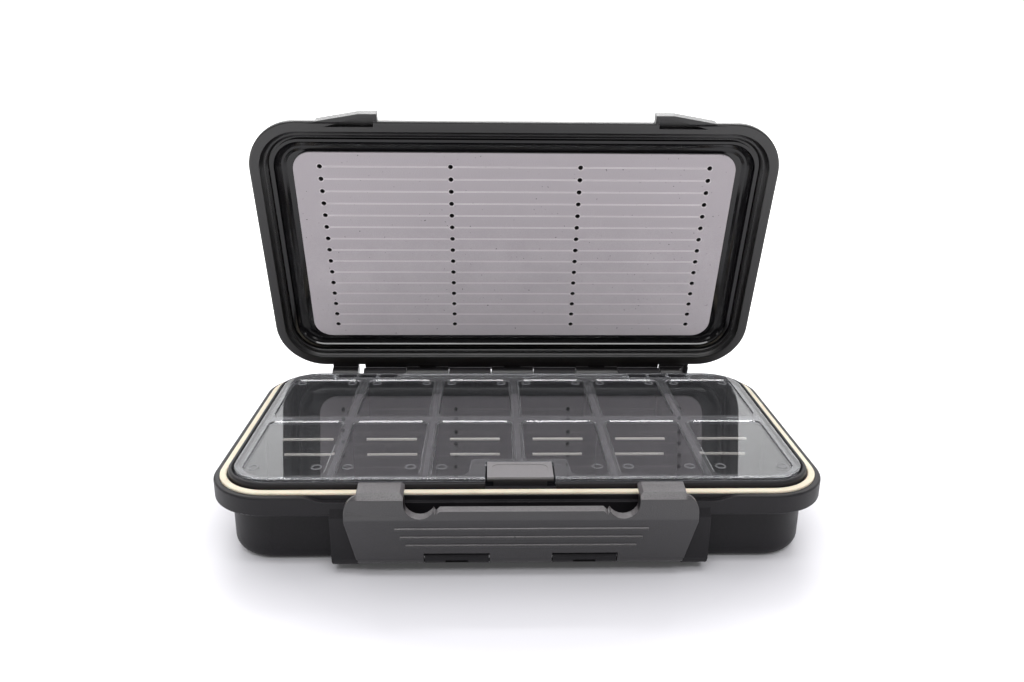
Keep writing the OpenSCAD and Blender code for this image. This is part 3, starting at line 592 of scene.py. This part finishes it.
@dataclass(frozen=True)
class FrostedMoulding(Finish):
    """Clear plastic with a finely frosted face, and painted shade on the flanks below it.

    Attributes:
        colour, flank_shade: display colours of the frosted face, and of the painted shade on the
            flanks below it.
        face_z: height of the face.
        flank: how far below the face the painted shade on the flanks is full, and where it ends.
        roughness: of the frosting.
        clear: share of light that goes through.
    """

    colour: Rgb
    flank_shade: Rgb = (52, 50, 52)
    face_z: float = 29.3
    flank: Pair = (1.0, 0.3)
    roughness: float = 0.35
    clear: float = 0.3

    def write(self, draft: ShaderDraft) -> None:
        """Writes the frosted face and the painted shade on its flanks.

        Args:
            draft: the material.
        """
        grain = draft.noise(0.25, detail=2.0)
        face = draft.blend(draft.spread(grain, 0.0, 1.0), linear(self.colour),
                           linear(toned(self.colour, 1.12)))
        # The flanks below the face are painted in the darker colour, as shade.
        low, high = ((self.face_z - below) * MM for below in self.flank)
        draft.coat(Base_Color=draft.blend(draft.span(draft.height(), low, high, 0.0, 1.0),
                                          linear(self.flank_shade), face),
                   Roughness=draft.spread(grain, self.roughness * 0.8, self.roughness * 1.2),
                   Normal=draft.relief(grain, 0.02), Transmission_Weight=self.clear)


@dataclass(frozen=True)
class SealRubber(Finish):
    """Matt cream silicone with faint flow marks.

    Attributes:
        pale, deep: display colours of the silicone and of its flow marks.
        flow, fleck: how the slow variation and fine grain become flow marks.
        gloss: roughness from the smoothest to the dullest patch.
        soft: share of light that scatters inside.
    """

    pale: Rgb
    deep: Rgb
    flow: Span = (0.35, 0.68, 0.0, 0.7)
    fleck: Span = (0.4, 0.7, 0.0, 0.3)
    gloss: Pair = (0.5, 0.66)
    soft: float = 0.12

    def write(self, draft: ShaderDraft) -> None:
        """Writes the silicone.

        Args:
            draft: the material.
        """
        slow = draft.noise(9.0, detail=4.0)
        fine = draft.noise(0.4, detail=2.0)
        share = draft.sums("ADD", draft.span(slow, *self.flow), draft.span(fine, *self.fleck))
        draft.coat(Base_Color=draft.blend(share, linear(self.pale), linear(self.deep)),
                   Roughness=draft.spread(slow, *self.gloss), Normal=draft.relief(fine, 0.015),
                   Subsurface_Weight=self.soft, Subsurface_Scale=1.5 * MM)


@dataclass(frozen=True)
class FoamSheet(Finish):
    """Closed-cell foam: cut cells, a few dark pits, a painted highlight on the lips beside the
    slits, and painted shade in its cuts and higher up.

    Attributes:
        face, deep, lip, cut_shade: display colours of the foam, its darker patches and painted
        shade higher up, the painted highlight on the swollen lips, and the painted shade inside the
        cuts.
        face_z: height of the face with the lid closed.
        dark: how far below the face the painted shade in the cuts begins, and where it is full.
        pits: how a noise becomes pits.
        shares: what the cut cells, slow patches and fine grain give to the darker colour.
        height_shade: painted shade added to the darker share with height at rest, in metres, so the
        foam is painted darker higher up and paler lower down, against the fall of the light.
    """

    face: Rgb
    deep: Rgb
    lip: Rgb
    cut_shade: Rgb = (10, 9, 10)
    face_z: float = FOAM_FACE_Z
    dark: Pair = (0.3, 0.9)
    pits: Span = (0.835, 0.85, 0.0, 1.0)
    shares: tuple[Span, ...] = ((0.1, 0.7, 0.0, 0.35), (0.35, 0.66, 0.0, 0.35),
                                (0.35, 0.7, 0.0, 0.3))
    height_shade: Span = (0.045, 0.125, -0.5, 1.1)

    def write(self, draft: ShaderDraft) -> None:
        """Writes the foam, its pits, the painted highlight on its lips, and painted shade in its
        cuts and higher up.

        Args:
            draft: the material.
        """
        cell = draft.cells(0.32)
        slow = draft.noise(16.0, detail=4.0, rough=0.62)
        fine = draft.noise(0.6, detail=3.0, rough=0.7)
        cut, patch, fleck = (draft.span(source, *given)
                             for source, given in zip((cell, slow, fine), self.shares))
        share = draft.sums("ADD", cut, draft.sums("ADD", patch, fleck))
        # Painted shade: darker higher up and paler lower down, with the lid at rest.
        share = draft.sums("ADD", share, draft.span(draft.height(), *self.height_shade))
        colour = draft.blend(share, linear(self.face), linear(self.deep))
        colour = draft.blend(draft.span(draft.noise(0.7, detail=0.0), *self.pits), colour,
                             linear(toned(self.deep, 0.55)))
        # Painted highlight on the swollen lips beside the slits and round the holes.
        lips = draft.node("ShaderNodeAttribute", attribute_name="lip_highlight").outputs["Fac"]
        colour = draft.blend(lips, colour, linear(self.lip))
        # Painted shade deep inside the slits and holes.
        draft.coat(Base_Color=draft.blend(self.cut_shade_share(draft), colour, linear(self.cut_shade)),
                   Roughness=draft.spread(fine, 0.82, 0.95),
                   Normal=draft.relief(cell, 0.05, under=draft.relief(fine, 0.06)),
                   Sheen_Weight=0.15, Specular_IOR_Level=0.25)

    def cut_shade_share(self, draft: ShaderDraft) -> Socket:
        """Finds the depth under the foam's face, which stands as the lid does at rest, for the
        painted shade in the cuts.

        Args:
            draft: the material.

        Returns:
            A share of painted shade that is 0 at the face and 1 deep in a cut.
        """
        home = LID_PLACE.matrix()
        out = home.to_3x3() @ Vector((0.0, 0.0, -1.0))
        level = (home @ Vector((0.0, 0.0, self.face_z * MM))).dot(out)
        along = draft.node("ShaderNodeVectorMath", {0: draft.place, 1: out},
                           operation="DOT_PRODUCT").outputs["Value"]
        start, end = (level - below * MM for below in self.dark)
        return draft.span(along, start, end, 0.0, 1.0)


@dataclass(frozen=True)
class DrawnSteel(Finish):
    """Steel drawn along X, for pins and spring wire."""

    colour: Rgb
    roughness: float = 0.3

    def write(self, draft: ShaderDraft) -> None:
        """Writes the drawn lines and stains.

        Args:
            draft: the material.
        """
        lines = draft.noise(0.3, detail=3.0, stretch=(0.06, 1.0, 1.0))
        stain = draft.noise(5.0, detail=3.0)
        bright = linear(self.colour)
        dull = tuple(part * 0.7 for part in bright[:3]) + (1.0,)
        draft.coat(Base_Color=draft.blend(draft.span(stain, 0.35, 0.7, 0.0, 1.0), bright, dull),
                   Roughness=draft.spread(lines, self.roughness * 0.8, self.roughness * 1.3),
                   Normal=draft.relief(lines, 0.008), Metallic=1.0)


@dataclass(frozen=True)
class PaleFloor(Finish):
    """The studio's floor, painted darker under the case as a shadow and brightening away from it.

    Attributes:
        near, far: display colours under the case, where the darker one is a painted shadow, and
            further out.
        fade: metres from the middle over which one turns to the other.
        glow: how that distance becomes the floor's own light.
    """

    near: Rgb = (208, 207, 212)
    far: Rgb = (255, 255, 255)
    fade: Pair = (0.1, 0.3)
    glow: Span = (0.09, 0.3, 0.05, 0.8)
    roughness: float = 0.7

    def write(self, draft: ShaderDraft) -> None:
        """Writes the floor.

        Args:
            draft: the material.
        """
        reach = draft.node("ShaderNodeVectorMath", {0: draft.place},
                           operation="LENGTH").outputs["Value"]
        # Painted shadow under the case, turning to white further out.
        share = draft.span(reach, *self.fade, 0.0, 1.0)
        draft.coat(Base_Color=draft.blend(share, linear(self.near), linear(self.far)),
                   Roughness=self.roughness, Emission_Color=(1.0, 1.0, 1.0, 1.0),
                   Emission_Strength=draft.span(reach, *self.glow))


def dress(finish: Finish, *nodes: str) -> None:
    """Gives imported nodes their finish.

    Args:
        finish: what the one material slot of each takes.
        nodes: their names.
    """
    material = finish.material()
    for node in nodes:
        mesh = frame["nodes"][node].data
        mesh.materials.clear()
        mesh.materials.append(material)
        LOG.info("dressed %s with %s", node, material.name)


# ---- Places and recut solids ----


@dataclass(frozen=True)
class Hinged:
    """A place that turns about a line along X.

    Attributes:
        y: the line's place from hinge to front.
        z: the line's height.
        turn: degrees from the closed place to the place at rest.
    """

    y: float
    z: float
    turn: float

    def matrix(self) -> Matrix:
        """From the closed place to the place at rest, in metres."""
        there = Matrix.Translation(Vector((0.0, self.y, self.z)) * MM)
        return there @ Matrix.Rotation(math.radians(self.turn), 4, "X") @ there.inverted()


LID_PLACE = Hinged(y=56.9, z=25.6, turn=-73.0)
LATCH_PLACE = Hinged(y=-54.5, z=6.8, turn=9.0)


class Recut:
    """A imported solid, trimmed and built up in its closed place, in millimetres."""

    JOINED = 1e-4  # corners nearer than this become one
    FLAT = 0.6  # degrees up to which neighbouring faces become one
    SMOOTH = 28.0  # degrees up to which an edge is shaded smooth
    LARGE_FIRST = 100  # large faces rule the shading at a corner

    def __init__(self, node: str, name: str, place: Hinged) -> None:
        """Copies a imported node's solid and turns it to its closed place.

        Args:
            node: the node's name.
            name: the new piece's name.
            place: how the node lies at rest.
        """
        self.node = node
        self.home = place.matrix() @ Matrix.Scale(MM, 4)
        mesh = frame["nodes"][node].data.copy()
        mesh.transform(self.home.inverted())
        self.piece = self.held(name, mesh)

    def held(self, name: str, mesh: bpy.types.Mesh) -> bpy.types.Object:
        """Puts a mesh in an object, with its split corners joined.

        Args:
            name: the object's name.
            mesh: the mesh.

        Returns:
            The object.
        """
        with edited(mesh) as form:
            bmesh.ops.remove_doubles(form, verts=form.verts, dist=self.JOINED)
        return placed(name, mesh)

    def prism(self, axis: str, outline: Outline, low: float, high: float) -> bpy.types.Object:
        """Makes a straight prism.

        Args:
            axis: the axis that it runs along.
            outline: its section on the other two axes, in their order.
            low: where it starts.
            high: where it ends.

        Returns:
            A closed solid.
        """
        at = "XYZ".index(axis)
        corners = [pair[:at] + (depth,) + pair[at:] for depth in (low, high) for pair in outline]
        count = len(outline)
        ends = [tuple(range(count)), tuple(range(count, 2 * count))]
        sides = [(i, (i + 1) % count, (i + 1) % count + count, i + count) for i in range(count)]
        mesh = bpy.data.meshes.new("prism")
        mesh.from_pydata(corners, [], ends + sides)
        with edited(mesh) as form:
            bmesh.ops.recalc_face_normals(form, faces=form.faces)
        return self.held("prism", mesh)

    def merge(self, target: bpy.types.Object, kind: str, tool: bpy.types.Object) -> None:
        """Joins, trims or crosses one solid with another, which it uses up.

        Args:
            target: the solid that changes.
            kind: UNION, DIFFERENCE or INTERSECT.
            tool: the other solid.
        """
        step = target.modifiers.new("step", "BOOLEAN")
        step.operation, step.solver, step.object = kind, "EXACT", tool
        applied(target)
        bpy.data.objects.remove(tool)

    def pair(self, kind: str, axis: str, outline: Outline, low: float, high: float,
             within: tuple[str, Outline, float, float] | None = None) -> None:
        """Joins or trims the piece with a prism and its mirror image across the middle.

        Args:
            kind: UNION or DIFFERENCE.
            axis: the axis that the prism runs along.
            outline: its section.
            low: where it starts, on the right-hand side.
            high: where it ends.
            within: axis, section and ends of a second prism that the first is kept within.
        """
        for side in (1.0, -1.0):
            tool = self.prism(axis, outline, low, high)
            if within is not None:
                self.merge(tool, "INTERSECT", self.prism(*within))
            tool.data.transform(Matrix.Diagonal((side, 1.0, 1.0, 1.0)))
            if side < 0.0:
                tool.data.flip_normals()
            self.merge(self.piece, kind, tool)

    def chamfer(self, wanted: Callable[[bmesh.types.BMEdge], bool], size: float) -> None:
        """Breaks chosen edges.

        Args:
            wanted: says whether an edge is one of them.
            size: width of the chamfer, measured along the faces.
        """
        with edited(self.piece.data) as form:
            bmesh.ops.dissolve_limit(form, angle_limit=math.radians(self.FLAT),
                                     verts=form.verts, edges=form.edges)
            chosen = [edge for edge in form.edges if len(edge.link_faces) == 2 and wanted(edge)]
            bmesh.ops.bevel(form, geom=chosen, offset=size, segments=1, profile=0.5,
                            affect="EDGES", clamp_overlap=True)
        LOG.info("broke %d edges of %s", len(chosen), self.piece.name)

    def finish(self, look: Finish, body: Role, slot: str) -> None:
        """Turns the piece back to its place at rest and lets it stand for its node.

        Args:
            look: its finish.
            body: what it moves with.
            slot: not used.
        """
        self.piece.data.shade_smooth()
        self.piece.data.set_sharp_from_angle(angle=math.radians(self.SMOOTH))
        even = self.piece.modifiers.new("even", "WEIGHTED_NORMAL")
        even.keep_sharp, even.weight = True, self.LARGE_FIRST
        mesh = applied(self.piece)
        mesh.transform(self.home)
        mesh.name = self.piece.name
        mesh.materials.clear()
        mesh.materials.append(look.material())
        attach(self.piece, body.value)
        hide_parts(self.node)
        LOG.info("recut %s from %s with %d faces", self.piece.name, self.node, len(mesh.polygons))


# ---- Sub-assemblies --------------------------------------------------------------


@dataclass
class CaseBase:
    """The base moulding, its compartments, strips, seal and steel pins."""

    # Its edges are painted paler, partly as rubbing and partly as painted highlight.
    shell: MouldedPlastic = MouldedPlastic(
        "shell_black", (18, 17, 19), (32, 30, 34), grain=0.3, depth=0.02, gloss=(0.4, 0.54),
        shine=0.24, edge_wear_and_highlight=(60, 57, 61))
    insert: MouldedPlastic = MouldedPlastic(
        "insert_black", (16, 15, 17), (28, 27, 30), grain=0.5, depth=0.01, gloss=(0.3, 0.42))
    strips: MouldedPlastic = MouldedPlastic(
        "strip_cream", (205, 196, 184), (228, 220, 208), grain=0.6, depth=0.01, gloss=(0.45, 0.6))
    seal: SealRubber = SealRubber("seal_cream", (218, 209, 189), (204, 193, 171))
    steel: DrawnSteel = DrawnSteel("pin_steel", (176, 176, 178))

    def build(self) -> None:
        """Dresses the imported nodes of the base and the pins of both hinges."""
        dress(self.shell, "base_shell")
        dress(self.insert, "compartment_insert")
        dress(self.strips, "label_strips")
        dress(self.seal, "seal_gasket")
        dress(self.steel, "latch_pin", "lid_hinge_pin", "cover_hinge_pin_left",
              "cover_hinge_pin_right")


@dataclass
class ClearCover:
    """The clear inner cover, its snap tongue and its springs."""

    clear: ClearMoulding = ClearMoulding("cover_clear", (236, 238, 241))
    frosted: FrostedMoulding = FrostedMoulding("tongue_frosted", (150, 147, 149))
    wire: DrawnSteel = DrawnSteel("spring_wire", (92, 92, 96), roughness=0.34)

    def build(self) -> None:
        """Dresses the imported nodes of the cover."""
        dress(self.clear, "inner_cover")
        dress(self.frosted, "cover_snap_tongue")
        dress(self.wire, "cover_spring_left", "cover_spring_right")


@dataclass(frozen=True)
class LatchGuard:
    """The right-hand latch guard of the lid: a low wedge with a hollow, lid closed.

    Attributes:
        low, top: heights of its underside and its top.
        near: where it starts, from the middle.
        front: the lid's front face.
        flat, long: length of its foremost face, and its whole length.
        reach: how far it stands out.
        wall, roof: thickness round its hollow and over it.
        taper, point: how much sooner the hollow's foremost face and its point end.
        bite: how far the hollow goes into the lid's lip.
        spare: how far a cut passes a face.
        stump: section of what is trimmed off above the new top, as Y and Z.
    """

    low: float = 27.6
    top: float = 31.0
    near: float = 49.6
    front: float = -53.5
    flat: float = 6.4
    long: float = 22.0
    reach: float = 2.8
    wall: float = 1.4
    roof: float = 0.8
    taper: float = 0.5
    point: float = 2.8
    bite: float = 2.0
    spare: float = 0.1
    stump: tuple[Pair, ...] = ((-50.1, 31.0), (-50.1, 31.6), (-49.0, 31.6), (-49.0, 36.5),
                               (-60.5, 36.5))

    def carve(self, lid: Recut) -> None:
        """Trims both of the lid's guards to their wedges and hollows them.

        Args:
            lid: the lid.
        """
        under, out = self.low - 1.0, self.front - self.reach
        turn, end = self.near + self.flat, self.near + self.long
        section = [(self.stump[-1][0], under), (self.front, under), (self.front, self.top)]
        lid.pair("DIFFERENCE", "X", section + list(self.stump), self.near - self.spare,
                 end + self.spare)
        root = self.front + 1.0
        wedge = [(self.near, root), (self.near, out), (turn, out), (end, self.front), (end, root)]
        lid.pair("UNION", "Z", wedge, self.low, self.top)
        inner, face, bite = self.near + self.wall, self.front - self.wall, self.front + self.bite
        hollow = [(inner, bite), (inner, face), (turn - self.taper, face), (end - self.point, bite)]
        lid.pair("DIFFERENCE", "Z", hollow, under, self.top - self.roof)


@dataclass
class FoamLid:
    """The lid, its glossy liner and its slit foam.

    Attributes:
        width, depth, thick: the foam's size from left to right, hinge to front and up.
        corner: the foam's corner radius in plan.
        face_z: height of the foam's face with the lid closed.
        rows, row_pitch: number of the slits' rows, and their spacing.
        holes, hole_pitch: holes in a row, and their spacing.
        hole_r: radius of a hole.
        slit, cut: width and depth of a slit.
        lip: radius of the swollen lip beside a cut.
    """

    width: float = 164.6
    depth: float = 81.0
    thick: float = 5.38
    corner: float = 7.0
    face_z: float = FOAM_FACE_Z
    row_pitch: float = 5.0
    rows: int = 15
    hole_pitch: float = 48.3
    holes: int = 4
    hole_r: float = 0.95
    slit: float = 0.06
    cut: float = 3.0
    lip: float = 0.2
    guard: LatchGuard = LatchGuard()
    # Its edges are painted paler, partly as rubbing and partly as painted highlight.
    shell: MouldedPlastic = MouldedPlastic(
        "lid_black", (11, 10, 11), (20, 18, 20), grain=0.4, depth=0.02, gloss=(0.3, 0.42),
        edge_wear_and_highlight=(62, 59, 62))
    gloss: GlossPlastic = GlossPlastic("liner_gloss", (7, 6, 8))
    # The third colour is the painted highlight on the swollen lips.
    foam: FoamSheet = FoamSheet("foam_mauve", (176, 170, 175), (160, 154, 159), (198, 192, 196))

    def build(self) -> None:
        """Recuts the lid, dresses its liner and makes its foam."""
        shell = Recut("lid_shell", "lid_moulding", LID_PLACE)
        self.guard.carve(shell)
        shell.finish(self.shell, Role.LID, "lid_plastic")
        dress(self.gloss, "lid_liner")
        self.make_foam()

    def lengths(self) -> dict[str, object]:
        """The foam's lengths in metres, by the names of the tree's inputs."""
        return {name: length * MM for name, length in (
            ("Width", self.width), ("Depth", self.depth), ("Corner", self.corner),
            ("Thickness", self.thick), ("Cut Depth", self.cut), ("Slit Width", self.slit),
            ("Row Pitch", self.row_pitch), ("Hole Pitch", self.hole_pitch),
            ("Hole Radius", self.hole_r), ("Lip Radius", self.lip))}

    def foam_tree(self) -> FieldTree:
        """Writes the tree that cuts the foam.

        Returns:
            A tree whose face looks up from z = 0.
        """
        t = FieldTree("foam_cutter")
        (width, depth, corner, thick, cut, slit, row_pitch, hole_pitch, hole_r,
         lip) = (t.ask(name) for name in self.lengths())
        rows, holes = t.ask("Rows", "NodeSocketInt"), t.ask("Holes", "NodeSocketInt")
        material = t.ask("Material", "NodeSocketMaterial")

        sheet = t.made("CurvePrimitiveQuadrilateral", {"Width": width, "Height": depth})
        outline = t.made("FilletCurve", {"Curve": sheet, "Radius": corner, "Count": 10},
                         mode="POLY")
        slots = t.sums("SUBTRACT", holes, 1.0)
        hole_points = self.grid(t, holes, rows, hole_pitch, row_pitch)
        slit_points = self.grid(t, slots, rows, hole_pitch, row_pitch)

        ring = t.made("CurvePrimitiveCircle", {"Resolution": 20, "Radius": hole_r})
        length = t.sums("SUBTRACT", hole_pitch, t.sums("MULTIPLY", hole_r, 2.3))
        slot = t.made("CurvePrimitiveQuadrilateral", {"Width": length, "Height": slit})
        rings = t.made("InstanceOnPoints", {"Points": hole_points, "Instance": ring})
        slits = t.made("InstanceOnPoints", {"Points": slit_points, "Instance": slot})
        drawn = t.made("RealizeInstances", {0: t.together(outline, rings, slits)})

        cut_face = self.walled(t, t.made("FillCurve", {"Curve": drawn}), cut)
        back = self.walled(t, t.made("FillCurve", {"Curve": outline}),
                           t.sums("SUBTRACT", thick, cut))
        back = t.moved(back, t.sums("MULTIPLY", cut, -1.0))

        bead = t.made("CurvePrimitiveCircle", {"Resolution": 6, "Radius": lip})
        beside = t.sums("ADD", t.sums("MULTIPLY", slit, 0.5), t.sums("MULTIPLY", lip, 0.8))
        lips = []
        for side in (-1.0, 1.0):
            offset = t.sums("MULTIPLY", beside, side)
            start, end = (t.vector(t.sums("MULTIPLY", length, half), offset,
                                   t.sums("MULTIPLY", lip, -0.7)) for half in (-0.5, 0.5))
            line = t.made("CurvePrimitiveLine", {"Start": start, "End": end})
            lips.append(t.made("CurveToMesh", {
                "Curve": line, "Profile Curve": bead, "Fill Caps": True}))
        swollen = t.made("InstanceOnPoints", {
            "Points": slit_points, "Instance": t.together(*lips)})
        collar = t.made("CurvePrimitiveCircle", {
            "Resolution": 14, "Radius": t.sums("ADD", hole_r, t.sums("MULTIPLY", lip, 0.8))})
        collar = t.made("CurveToMesh", {"Curve": collar, "Profile Curve": bead})
        collar = t.moved(collar, t.sums("MULTIPLY", lip, -0.72))
        collars = t.made("InstanceOnPoints", {"Points": hole_points, "Instance": collar})
        raised = t.made("RealizeInstances", {0: t.together(swollen, collars)})
        # Marks the swollen lips, which are painted paler as highlight.
        raised = t.made("StoreNamedAttribute", {
            "Geometry": raised, "Name": "lip_highlight", "Value": 1.0}, data_type="FLOAT",
            domain="POINT")
        t.finish(t.together(cut_face, back, raised), material)
        return t

    def grid(self, t: FieldTree, across: Socket, rows: Socket, hole_pitch: Socket,
             row_pitch: Socket) -> Socket:
        """Lays points in a grid about the middle.

        Args:
            t: the tree.
            across: points in a row.
            rows: rows.
            hole_pitch: spacing in a row.
            row_pitch: spacing of the rows.

        Returns:
            The points.
        """
        return t.made("MeshGrid", {
            "Size X": t.sums("MULTIPLY", hole_pitch, t.sums("SUBTRACT", across, 1.0)),
            "Size Y": t.sums("MULTIPLY", row_pitch, t.sums("SUBTRACT", rows, 1.0)),
            "Vertices X": across, "Vertices Y": rows})

    def walled(self, t: FieldTree, face: Socket, depth: Socket) -> Socket:
        """Gives a flat face its walls and its underside.

        Args:
            t: the tree.
            face: a flat face at z = 0, looking up.
            depth: thickness of the slab.

        Returns:
            A closed slab below z = 0.
        """
        low = t.moved(face, t.sums("MULTIPLY", depth, -1.0))
        under = t.made("FlipFaces", {"Mesh": low})
        grown = t.made("ExtrudeMesh", {
            "Mesh": low, "Offset": t.vector(z=1.0), "Offset Scale": depth,
            "Individual": False}, mode="FACES")
        return t.made("MergeByDistance", {"Geometry": t.together(grown, under), "Distance": 1e-6})

    def make_foam(self) -> None:
        """Cuts the foam and lays it in the liner."""
        foam = self.foam_tree().bake("slit_foam_sheet", self.lengths() | {
            "Rows": self.rows, "Holes": self.holes, "Material": self.foam.material()})
        over = Matrix.Rotation(math.pi, 4, "X")
        place = LID_PLACE.matrix() @ Matrix.Translation(Vector((0, 0, self.face_z)) * MM) @ over
        foam.data.transform(place)
        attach(foam, Role.LID.value)
        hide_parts("slit_foam")
        LOG.info("made %s with %d faces", foam.name, len(foam.data.polygons))


@dataclass
class HookLatch:
    """The wide latch, with broad round shoulders that pass in front of the lid's guards.

    Attributes:
        wide: half of its width.
        top, foot: heights of its ends, closed.
        radius: of the shoulders in front view.
        arm, seat: where a shoulder starts, from the middle and up.
        face, back: the shoulder's front as Y and Z, and the Y of its back.
        broken: width of the chamfer round the shoulders.
        rim: least distance from the middle, greatest Y and range of height of its edges.
        facing: how much the edge's side face may look ahead, and its front face must.
    """

    wide: float = 52.8
    top: float = 32.0
    radius: float = 6.0
    arm: float = 48.0
    seat: float = 25.2
    face: tuple[Pair, ...] = ((-59.08, 25.2), (-58.62, 27.4), (-58.0, 30.3))
    back: float = -56.6
    foot: float = 5.2
    broken: float = 0.7
    rim: tuple[float, float, Pair] = (47.5, -57.0, (24.0, 31.9))
    facing: Pair = (0.3, 0.9)
    # Its edges are painted paler as rubbing and painted highlight, and its faces that look up at
    # rest get a painted sheen.
    plastic: MouldedPlastic = MouldedPlastic(
        "latch_black", (17, 15, 18), (33, 30, 34), grain=0.36, depth=0.07, gloss=(0.27, 0.4),
        shine=0.75, edge_wear_and_highlight=(88, 84, 88), painted_sheen=(84, 81, 83))

    def build(self) -> None:
        """Builds up the shoulders, shortens the foot and dresses the latch."""
        latch = Recut("latch_plate", "latch_moulding", LATCH_PLACE)
        middle_x, middle_z = self.wide - self.radius, self.top - self.radius
        curve = [(middle_x + self.radius * math.cos(math.radians(turn)),
                  middle_z + self.radius * math.sin(math.radians(turn)))
                 for turn in range(0, 80, 6)]
        plan = [(self.arm, self.seat), (self.wide, self.seat)] + curve
        wall = list(self.face) + [(self.back, self.top - 0.3), (self.back, self.seat)]
        latch.pair("UNION", "Y", plan + [(self.arm, self.top - 0.2)], -60.0, -50.0,
                   within=("X", wall, 40.0, 60.0))
        latch.pair("DIFFERENCE", "X", [(-64.0, 3.0), (-50.0, 3.0), (-50.0, self.foot),
                                       (-64.0, self.foot)], -1.0, self.wide + 1.0)
        latch.chamfer(self.on_rim, self.broken)
        latch.finish(self.plastic, Role.LATCH, "latch_plastic")

    def on_rim(self, edge: bmesh.types.BMEdge) -> bool:
        """Says whether an edge is part of the front edge round a shoulder.

        Args:
            edge: an edge of the closed latch.

        Returns:
            True for the edges to break.
        """
        mid = (edge.verts[0].co + edge.verts[1].co) / 2
        least_x, most_y, (low, high) = self.rim
        side, front = sorted(abs(face.normal.y) for face in edge.link_faces)
        return (abs(mid.x) > least_x and mid.y < most_y and low < mid.z < high
                and side < self.facing[0] and front > self.facing[1])


# ---- Studio ----


@dataclass(frozen=True)
class View:
    """The camera that took the picture, as a plain lens.

    Attributes:
        place: where it stands.
        focal, pixels: focal length and the picture's width, both in pixels.
        down, yaw, roll: degrees below the horizon, to the right, and of lean.
        reach: nearest and farthest that it sees, in metres.
    """

    place: Triple = (-9.49, -288.41, 152.60)
    focal: float = 861.34
    pixels: float = 1024.0
    down: float = 18.0019
    yaw: float = 1.5344
    roll: float = 0.5003
    reach: Pair = (0.01, 20.0)

    def build(self) -> None:
        """Makes the camera and gives it to the scene."""
        p, y, r = (math.radians(v) for v in (self.down, self.yaw, self.roll))
        ahead = Vector((math.sin(y) * math.cos(p), math.cos(y) * math.cos(p), -math.sin(p)))
        right = Vector((math.cos(y), -math.sin(y), 0.0))
        up = right.cross(ahead)
        across = right * math.cos(r) + up * math.sin(r)
        above = -right * math.sin(r) + up * math.cos(r)
        data = bpy.data.cameras.new("picture_camera")
        data.sensor_fit = "HORIZONTAL"
        data.sensor_width = 36.0
        data.lens = self.focal * data.sensor_width / self.pixels
        data.clip_start, data.clip_end = self.reach
        camera = placed("picture_camera", data)
        turn = Matrix((across, above, -ahead)).transposed()
        camera.matrix_world = Matrix.Translation(Vector(self.place) * MM) @ turn.to_4x4()
        bpy.context.scene.camera = camera


@dataclass(frozen=True)
class SoftBox:
    """A rectangular soft lamp.

    Attributes:
        place, aim: where it hangs and what it points at, in metres.
        size: its sides in metres.
        power: watts.
    """

    name: str
    place: Triple
    aim: Triple
    size: Pair
    power: float

    def build(self) -> None:
        """Hangs the lamp."""
        data = bpy.data.lights.new(self.name, "AREA")
        data.shape = "RECTANGLE"
        data.size, data.size_y = self.size
        data.energy = self.power
        back = Vector(self.place) - Vector(self.aim)
        turn = back.to_track_quat("Z", "Y").to_matrix().to_4x4()
        placed(self.name, data).matrix_world = Matrix.Translation(Vector(self.place)) @ turn


@dataclass
class Studio:
    """A white sweep and soft light, dimmer behind the camera.

    Attributes:
        side, paint: the floor's side in metres, and its finish.
        sky: strength of the white behind the case.
        lean: sums of a direction's Y and Z at which the room's light is low and high.
        low, high: strength of the room's light from there.
        boxes: the lamps.
    """

    side: float = 8.0
    paint: PaleFloor = PaleFloor("floor_pale")
    sky: float = 1.1
    lean: Pair = (-0.4, 1.3)
    low: float = 0.08
    high: float = 1.55
    boxes: tuple[SoftBox, ...] = (
        SoftBox("rear_box", (0.0, 0.72, 0.84), (0.0, -0.05, 0.02), (1.1, 0.3), 9.0),
        SoftBox("front_box", (0.0, -0.74, 0.86), (0.0, 0.0, 0.05), (0.9, 0.22), 4.0),
        SoftBox("ridge_box", (0.0, -0.32, 0.85), (0.0, -0.06, 0.02), (0.7, 0.1), 2.4),
    )

    def build(self) -> None:
        """Makes the floor, the room's light and the lamps."""
        self.make_floor()
        self.make_world()
        for box in self.boxes:
            box.build()
        bpy.context.scene.view_settings.view_transform = "Standard"

    def make_floor(self) -> None:
        """Lays a flat floor."""
        half = self.side / 2
        corners = [(-half, -half, 0), (half, -half, 0), (half, half, 0), (-half, half, 0)]
        mesh = bpy.data.meshes.new("floor")
        mesh.from_pydata(corners, [], [(0, 1, 2, 3)])
        mesh.materials.append(self.paint.material())
        placed("floor", mesh)

    def make_world(self) -> None:
        """Lights the room: white to look at, and dimmer from behind the camera."""
        world = bpy.data.worlds.new("studio")
        world.use_nodes = True
        draft = Draft(world.node_tree)
        around = draft.node("ShaderNodeTexCoord").outputs["Generated"]
        split = draft.node("ShaderNodeSeparateXYZ", {0: around}).outputs
        fade = draft.node("ShaderNodeMapRange", {
            "Value": draft.sums("ADD", split["Y"], split["Z"]), "From Min": self.lean[0],
            "From Max": self.lean[1], "To Min": self.low, "To Max": self.high})
        seen = draft.node("ShaderNodeLightPath").outputs["Is Camera Ray"]
        shown = draft.node("ShaderNodeMix", {0: seen, 2: fade.outputs["Result"], 3: self.sky})
        back = world.node_tree.nodes["Background"]
        draft.plug((1.0, 1.0, 1.0, 1.0), back.inputs["Color"])
        draft.plug(shown.outputs[0], back.inputs["Strength"])
        bpy.context.scene.world = world


def main() -> None:
    """Builds the case in order, then the studio."""
    logging.basicConfig(level=logging.INFO, format="%(name)s: %(message)s")
    View().build()
    CaseBase().build()
    ClearCover().build()
    FoamLid().build()
    HookLatch().build()
    Studio().build()


if __name__ == "__main__":
    main()
